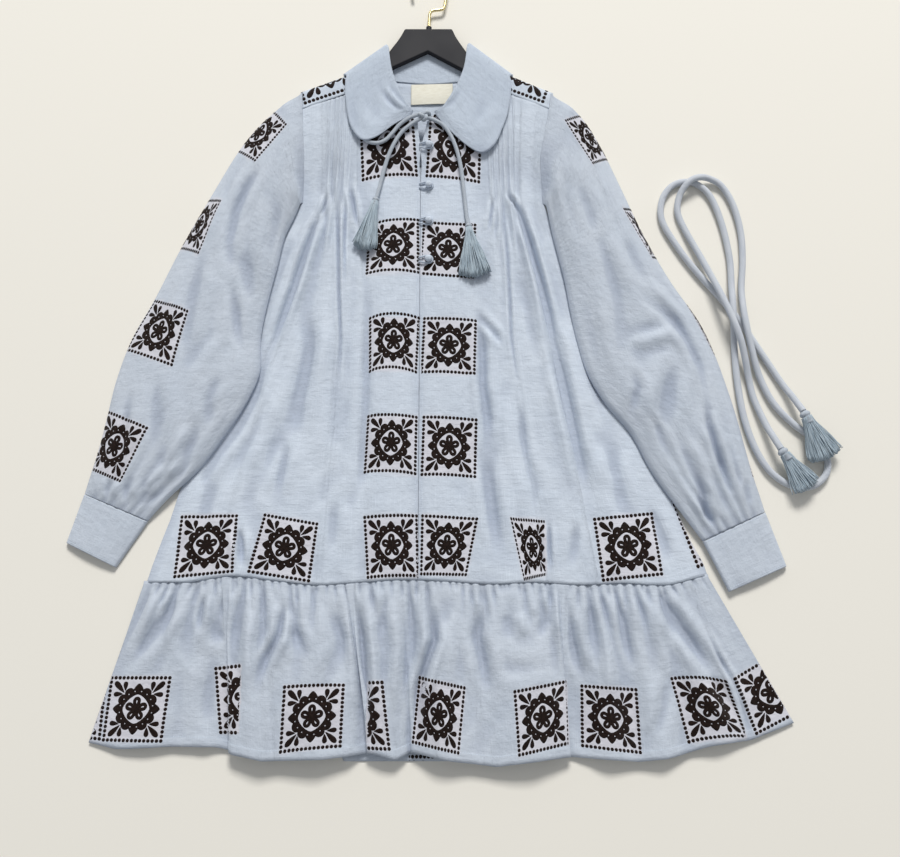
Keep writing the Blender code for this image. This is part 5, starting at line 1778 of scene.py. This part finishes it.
motif = Motif()
ring_of_scallops(motif)
for petal in range(5):
    angle = math.radians(90 + 72 * petal)
    axis = np.array([math.cos(angle), math.sin(angle)])
    across = np.array([-axis[1], axis[0]])
    path = []
    for step in range(24):
        t = 2 * math.pi * step / 24
        along = 0.215 + 0.125 * math.cos(t)
        wide = 0.075 * math.sin(t) * (1 + 0.3 * math.cos(t))
        path.append(axis * along + across * wide)
    motif.outline(path, 0.125)
motif.dot(0, 0, 0.15, 14)
for corner_x in (-1, 1):
    for corner_y in (-1, 1):
        motif.leaf((0.49 * corner_x, 0.52 * corner_y), (0.86 * corner_x, 0.87 * corner_y), 0.185)
        motif.leaf((0.46 * corner_x, 0.58 * corner_y), (0.48 * corner_x, 0.88 * corner_y), 0.165)
        motif.leaf((0.54 * corner_x, 0.48 * corner_y), (0.86 * corner_x, 0.46 * corner_y), 0.16)
for number in range(15):
    step = -1 + number / 7
    motif.dot(step, -1, 0.066)
    motif.dot(step, 1, 0.066)
    if 0 < number < 14:
        motif.dot(-1, step, 0.066)
        motif.dot(1, step, 0.066)
motif_points = np.array(motif.points)

sewn_cloths = {
    "front": [front_left, front_right],
    "yoke": [yoke],
    "ruffle": [ruffle_front],
    "back_tier": [ruffle_back],
    "sleeve_left": [sleeve_left],
    "sleeve_right": [sleeve_right],
}


def surface_of(cloths):
    """The faces of the thickened cloths, for laying stitches on them from above."""
    graph = bpy.context.evaluated_depsgraph_get()
    points, faces = [], []
    for cloth in cloths:
        seen = cloth.evaluated_get(graph).to_mesh()
        base = len(points)
        points += [vertex.co.copy() for vertex in seen.vertices]
        faces += [tuple(base + index for index in polygon.vertices) for polygon in seen.polygons]
        cloth.evaluated_get(graph).to_mesh_clear()
    return BVHTree.FromPolygons(points, faces)


def tile_plan(corners, bow, points):
    """Motif units to plan millimetres between a square's four corners as it lies."""
    u, v = points[:, 0], points[:, 1]
    lower_left, lower_right, upper_right, upper_left = np.array(corners, float).reshape(4, 2)
    plan = (
        np.outer((1 - u) * (1 - v), lower_left)
        + np.outer((1 + u) * (1 - v), lower_right)
        + np.outer((1 + u) * (1 + v), upper_right)
        + np.outer((1 - u) * (1 + v), upper_left)
    ) / 4
    plan[:, 1] += bow * (1 - u**2)
    return plan


TILES += [
    ("back_tier", -46, -444, 16, -444, 16, -374.2, -46, -374.2, 0, -46, -12),
    ("yoke", -184, 422, -112, 449, -139, 528, -212, 501, 0, -200, -100),
    ("yoke", 47, 453, 118, 424, 144, 501, 71, 528, 0, 40, 140),
]
brown_threads = embroidery_finish()
for cloth_name, cloths in sewn_cloths.items():
    below = surface_of(cloths)
    all_points, all_faces, all_grain = [], [], []
    for sewn_on, *corners, bow, from_x, to_x in TILES:
        if sewn_on != cloth_name:
            continue
        plan = tile_plan(corners, bow, motif_points)
        placed, kept = [], []
        for (plan_x, plan_y), rise in zip(plan, motif_points[:, 2]):
            start = to_frame((plan_x, plan_y, ABOVE_ALL_MM))
            hit = below.ray_cast(Vector(start), Vector((0, 0, -1)))[0]
            kept.append(hit is not None and from_x <= plan_x <= to_x)
            height = hit.z * 1000 if hit is not None else 0.0
            placed.append((plan_x, plan_y, height - 0.06 + STITCH_RISE_MM * rise))
        placed = np.array(placed)
        base = len(all_points)
        all_points += placed.tolist()
        all_grain += (motif_points[:, :2] * 32 + base).tolist()
        for face in motif.faces:
            heights = placed[list(face), 2]
            if all(kept[i] for i in face) and heights.max() - heights.min() < 5:
                all_faces.append(tuple(base + i for i in face))
    points = np.array(all_points)
    used = sorted({i for face in all_faces for i in face})
    renumber = {old: new for new, old in enumerate(used)}
    faces = []
    for face in all_faces:
        a, b, c = (points[face[i]] for i in (0, 1, 2))
        turned_up = (b[0] - a[0]) * (c[1] - a[1]) - (b[1] - a[1]) * (c[0] - a[0]) > 0
        face = face if turned_up else face[::-1]
        faces.append(tuple(renumber[i] for i in face))
    grain = np.array(all_grain)[used]
    stitches = new_piece(f"embroidery_{cloth_name}", points[used], faces, brown_threads, grain)
    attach(stitches, "root")


# Sewing: the lines of machine stitches along the hem, the yoke seams, the cuffs and the centre.
# Each is a short lying thread, set at an even pitch along its line by Geometry Nodes.
SEWN_LINES = [
    # sewn on, then x, y of the line's points
    ("yoke", -188, 414.5, -163, 425.5, -136, 436.0, -108, 447.4, -84, 458.2),
    ("yoke", 29, 458.4, 52, 447.6, 78, 436.4, 104, 425.2, 129, 414.0),
    ("front", -40.5, 350, -40.5, 250, -40.5, 100, -40.5, 0, -40.5, -80, -40.5, -175),
    ("front", -33.5, 350, -33.5, 250, -33.5, 100, -33.5, 0, -33.5, -80, -33.5, -175),
    ("cuff_left", -355.5, -113.0, -426.5, -83.0),
    ("cuff_left", -386.5, -161.5, -442.0, -135.0),
    ("cuff_right", 296.0, -136.5, 366.5, -104.5),
    ("cuff_right", 320.5, -189.5, 385.5, -162.0),
]
STITCH_MM = 2.6
THREAD_LIES_MM = 0.08
HEM_SEWN_MM = 10.4


def stitched_by_nodes(name, points_mm, threads):
    """Stitches at an even pitch along lines of points, made plain mesh afterwards."""
    mesh = bpy.data.meshes.new(name + "_lines")
    rows, edges = [], []
    for line in points_mm:
        edges += [(len(rows) + i, len(rows) + i + 1) for i in range(len(line) - 1)]
        rows += line
    mesh.from_pydata(to_frame(rows).tolist(), edges, [])
    guide = bpy.data.objects.new(name + "_lines", mesh)
    scene.collection.objects.link(guide)
    tree = bpy.data.node_groups.new(name, "GeometryNodeTree")
    tree.interface.new_socket("Lines", in_out="INPUT", socket_type="NodeSocketGeometry")
    pitch = tree.interface.new_socket("Pitch", in_out="INPUT", socket_type="NodeSocketFloat")
    tree.interface.new_socket("Stitches", in_out="OUTPUT", socket_type="NodeSocketGeometry")
    kinds = (
        "NodeGroupInput", "GeometryNodeMeshToCurve", "GeometryNodeResampleCurve", "GeometryNodeInputTangent",
        "FunctionNodeAlignRotationToVector", "GeometryNodeMeshUVSphere", "GeometryNodeInstanceOnPoints",
        "GeometryNodeRealizeInstances", "GeometryNodeSetMaterial", "NodeGroupOutput",
    )
    lines, curves, spaced, tangent, aligned, bead, placed, real, painted, made = map(tree.nodes.new, kinds)
    spaced.mode = "LENGTH"
    aligned.axis = "X"
    bead.inputs["Segments"].default_value = 6
    bead.inputs["Rings"].default_value = 4
    bead.inputs["Radius"].default_value = 0.001
    placed.inputs["Scale"].default_value = (0.95, 0.30, 0.26)
    painted.inputs["Material"].default_value = threads
    for start, end in (
        (lines.outputs[0], curves.inputs["Mesh"]),
        (curves.outputs["Curve"], spaced.inputs["Curve"]),
        (lines.outputs[1], spaced.inputs["Length"]),
        (spaced.outputs["Curve"], placed.inputs["Points"]),
        (tangent.outputs["Tangent"], aligned.inputs["Vector"]),
        (aligned.outputs["Rotation"], placed.inputs["Rotation"]),
        (bead.outputs["Mesh"], placed.inputs["Instance"]),
        (placed.outputs["Instances"], real.inputs["Geometry"]),
        (real.outputs["Geometry"], painted.inputs["Geometry"]),
        (painted.outputs["Geometry"], made.inputs[0]),
    ):
        tree.links.new(start, end)
    sewing = guide.modifiers.new("sewing", "NODES")
    sewing.node_group = tree
    sewing[pitch.identifier] = STITCH_MM * 0.001
    seen = guide.evaluated_get(bpy.context.evaluated_depsgraph_get())
    stitches = bpy.data.objects.new(name, bpy.data.meshes.new_from_object(seen))
    stitches.data.shade_smooth()
    scene.collection.objects.link(stitches)
    bpy.data.objects.remove(guide)
    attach(stitches, "root")
    return stitches


hem_line = ["ruffle"]
for x in np.arange(-392, 376, 3.0):
    hem_line += [float(x), float(read(HEM, x, 1)) + HEM_SEWN_MM]
sewn_cloths["cuff_left"] = [cuffs["cuff_left"]]
sewn_cloths["cuff_right"] = [cuffs["cuff_right"]]
laid_lines = []
for sewn_on, *along in [*SEWN_LINES, hem_line]:
    corners = np.array(along, float).reshape(-1, 2)
    line_length = np.linalg.norm(np.diff(corners, axis=0), axis=1).sum()
    count = int(line_length / 1.5)
    places = np.linspace(0, len(corners) - 1, count)
    line_x = np.interp(places, np.arange(len(corners)), corners[:, 0])
    line_y = np.interp(places, np.arange(len(corners)), corners[:, 1])
    below = surface_of(sewn_cloths[sewn_on])
    laid = []
    for x, y in zip(line_x, line_y):
        hit = below.ray_cast(Vector(to_frame((x, y, ABOVE_ALL_MM))), Vector((0, 0, -1)))[0]
        if hit is None or (laid and abs(hit.z * 1000 + THREAD_LIES_MM - laid[-1][2]) > 2.5):
            if len(laid) > 3:
                laid_lines.append(laid)
            laid = []
        if hit is not None:
            laid.append((float(x), float(y), hit.z * 1000 + THREAD_LIES_MM))
    if len(laid) > 3:
        laid_lines.append(laid)
pale_threads = thread_finish("pale_threads", (0.66, 0.74, 0.83), (0.56, 0.64, 0.74))
stitched_by_nodes("machine_stitches", laid_lines, pale_threads)
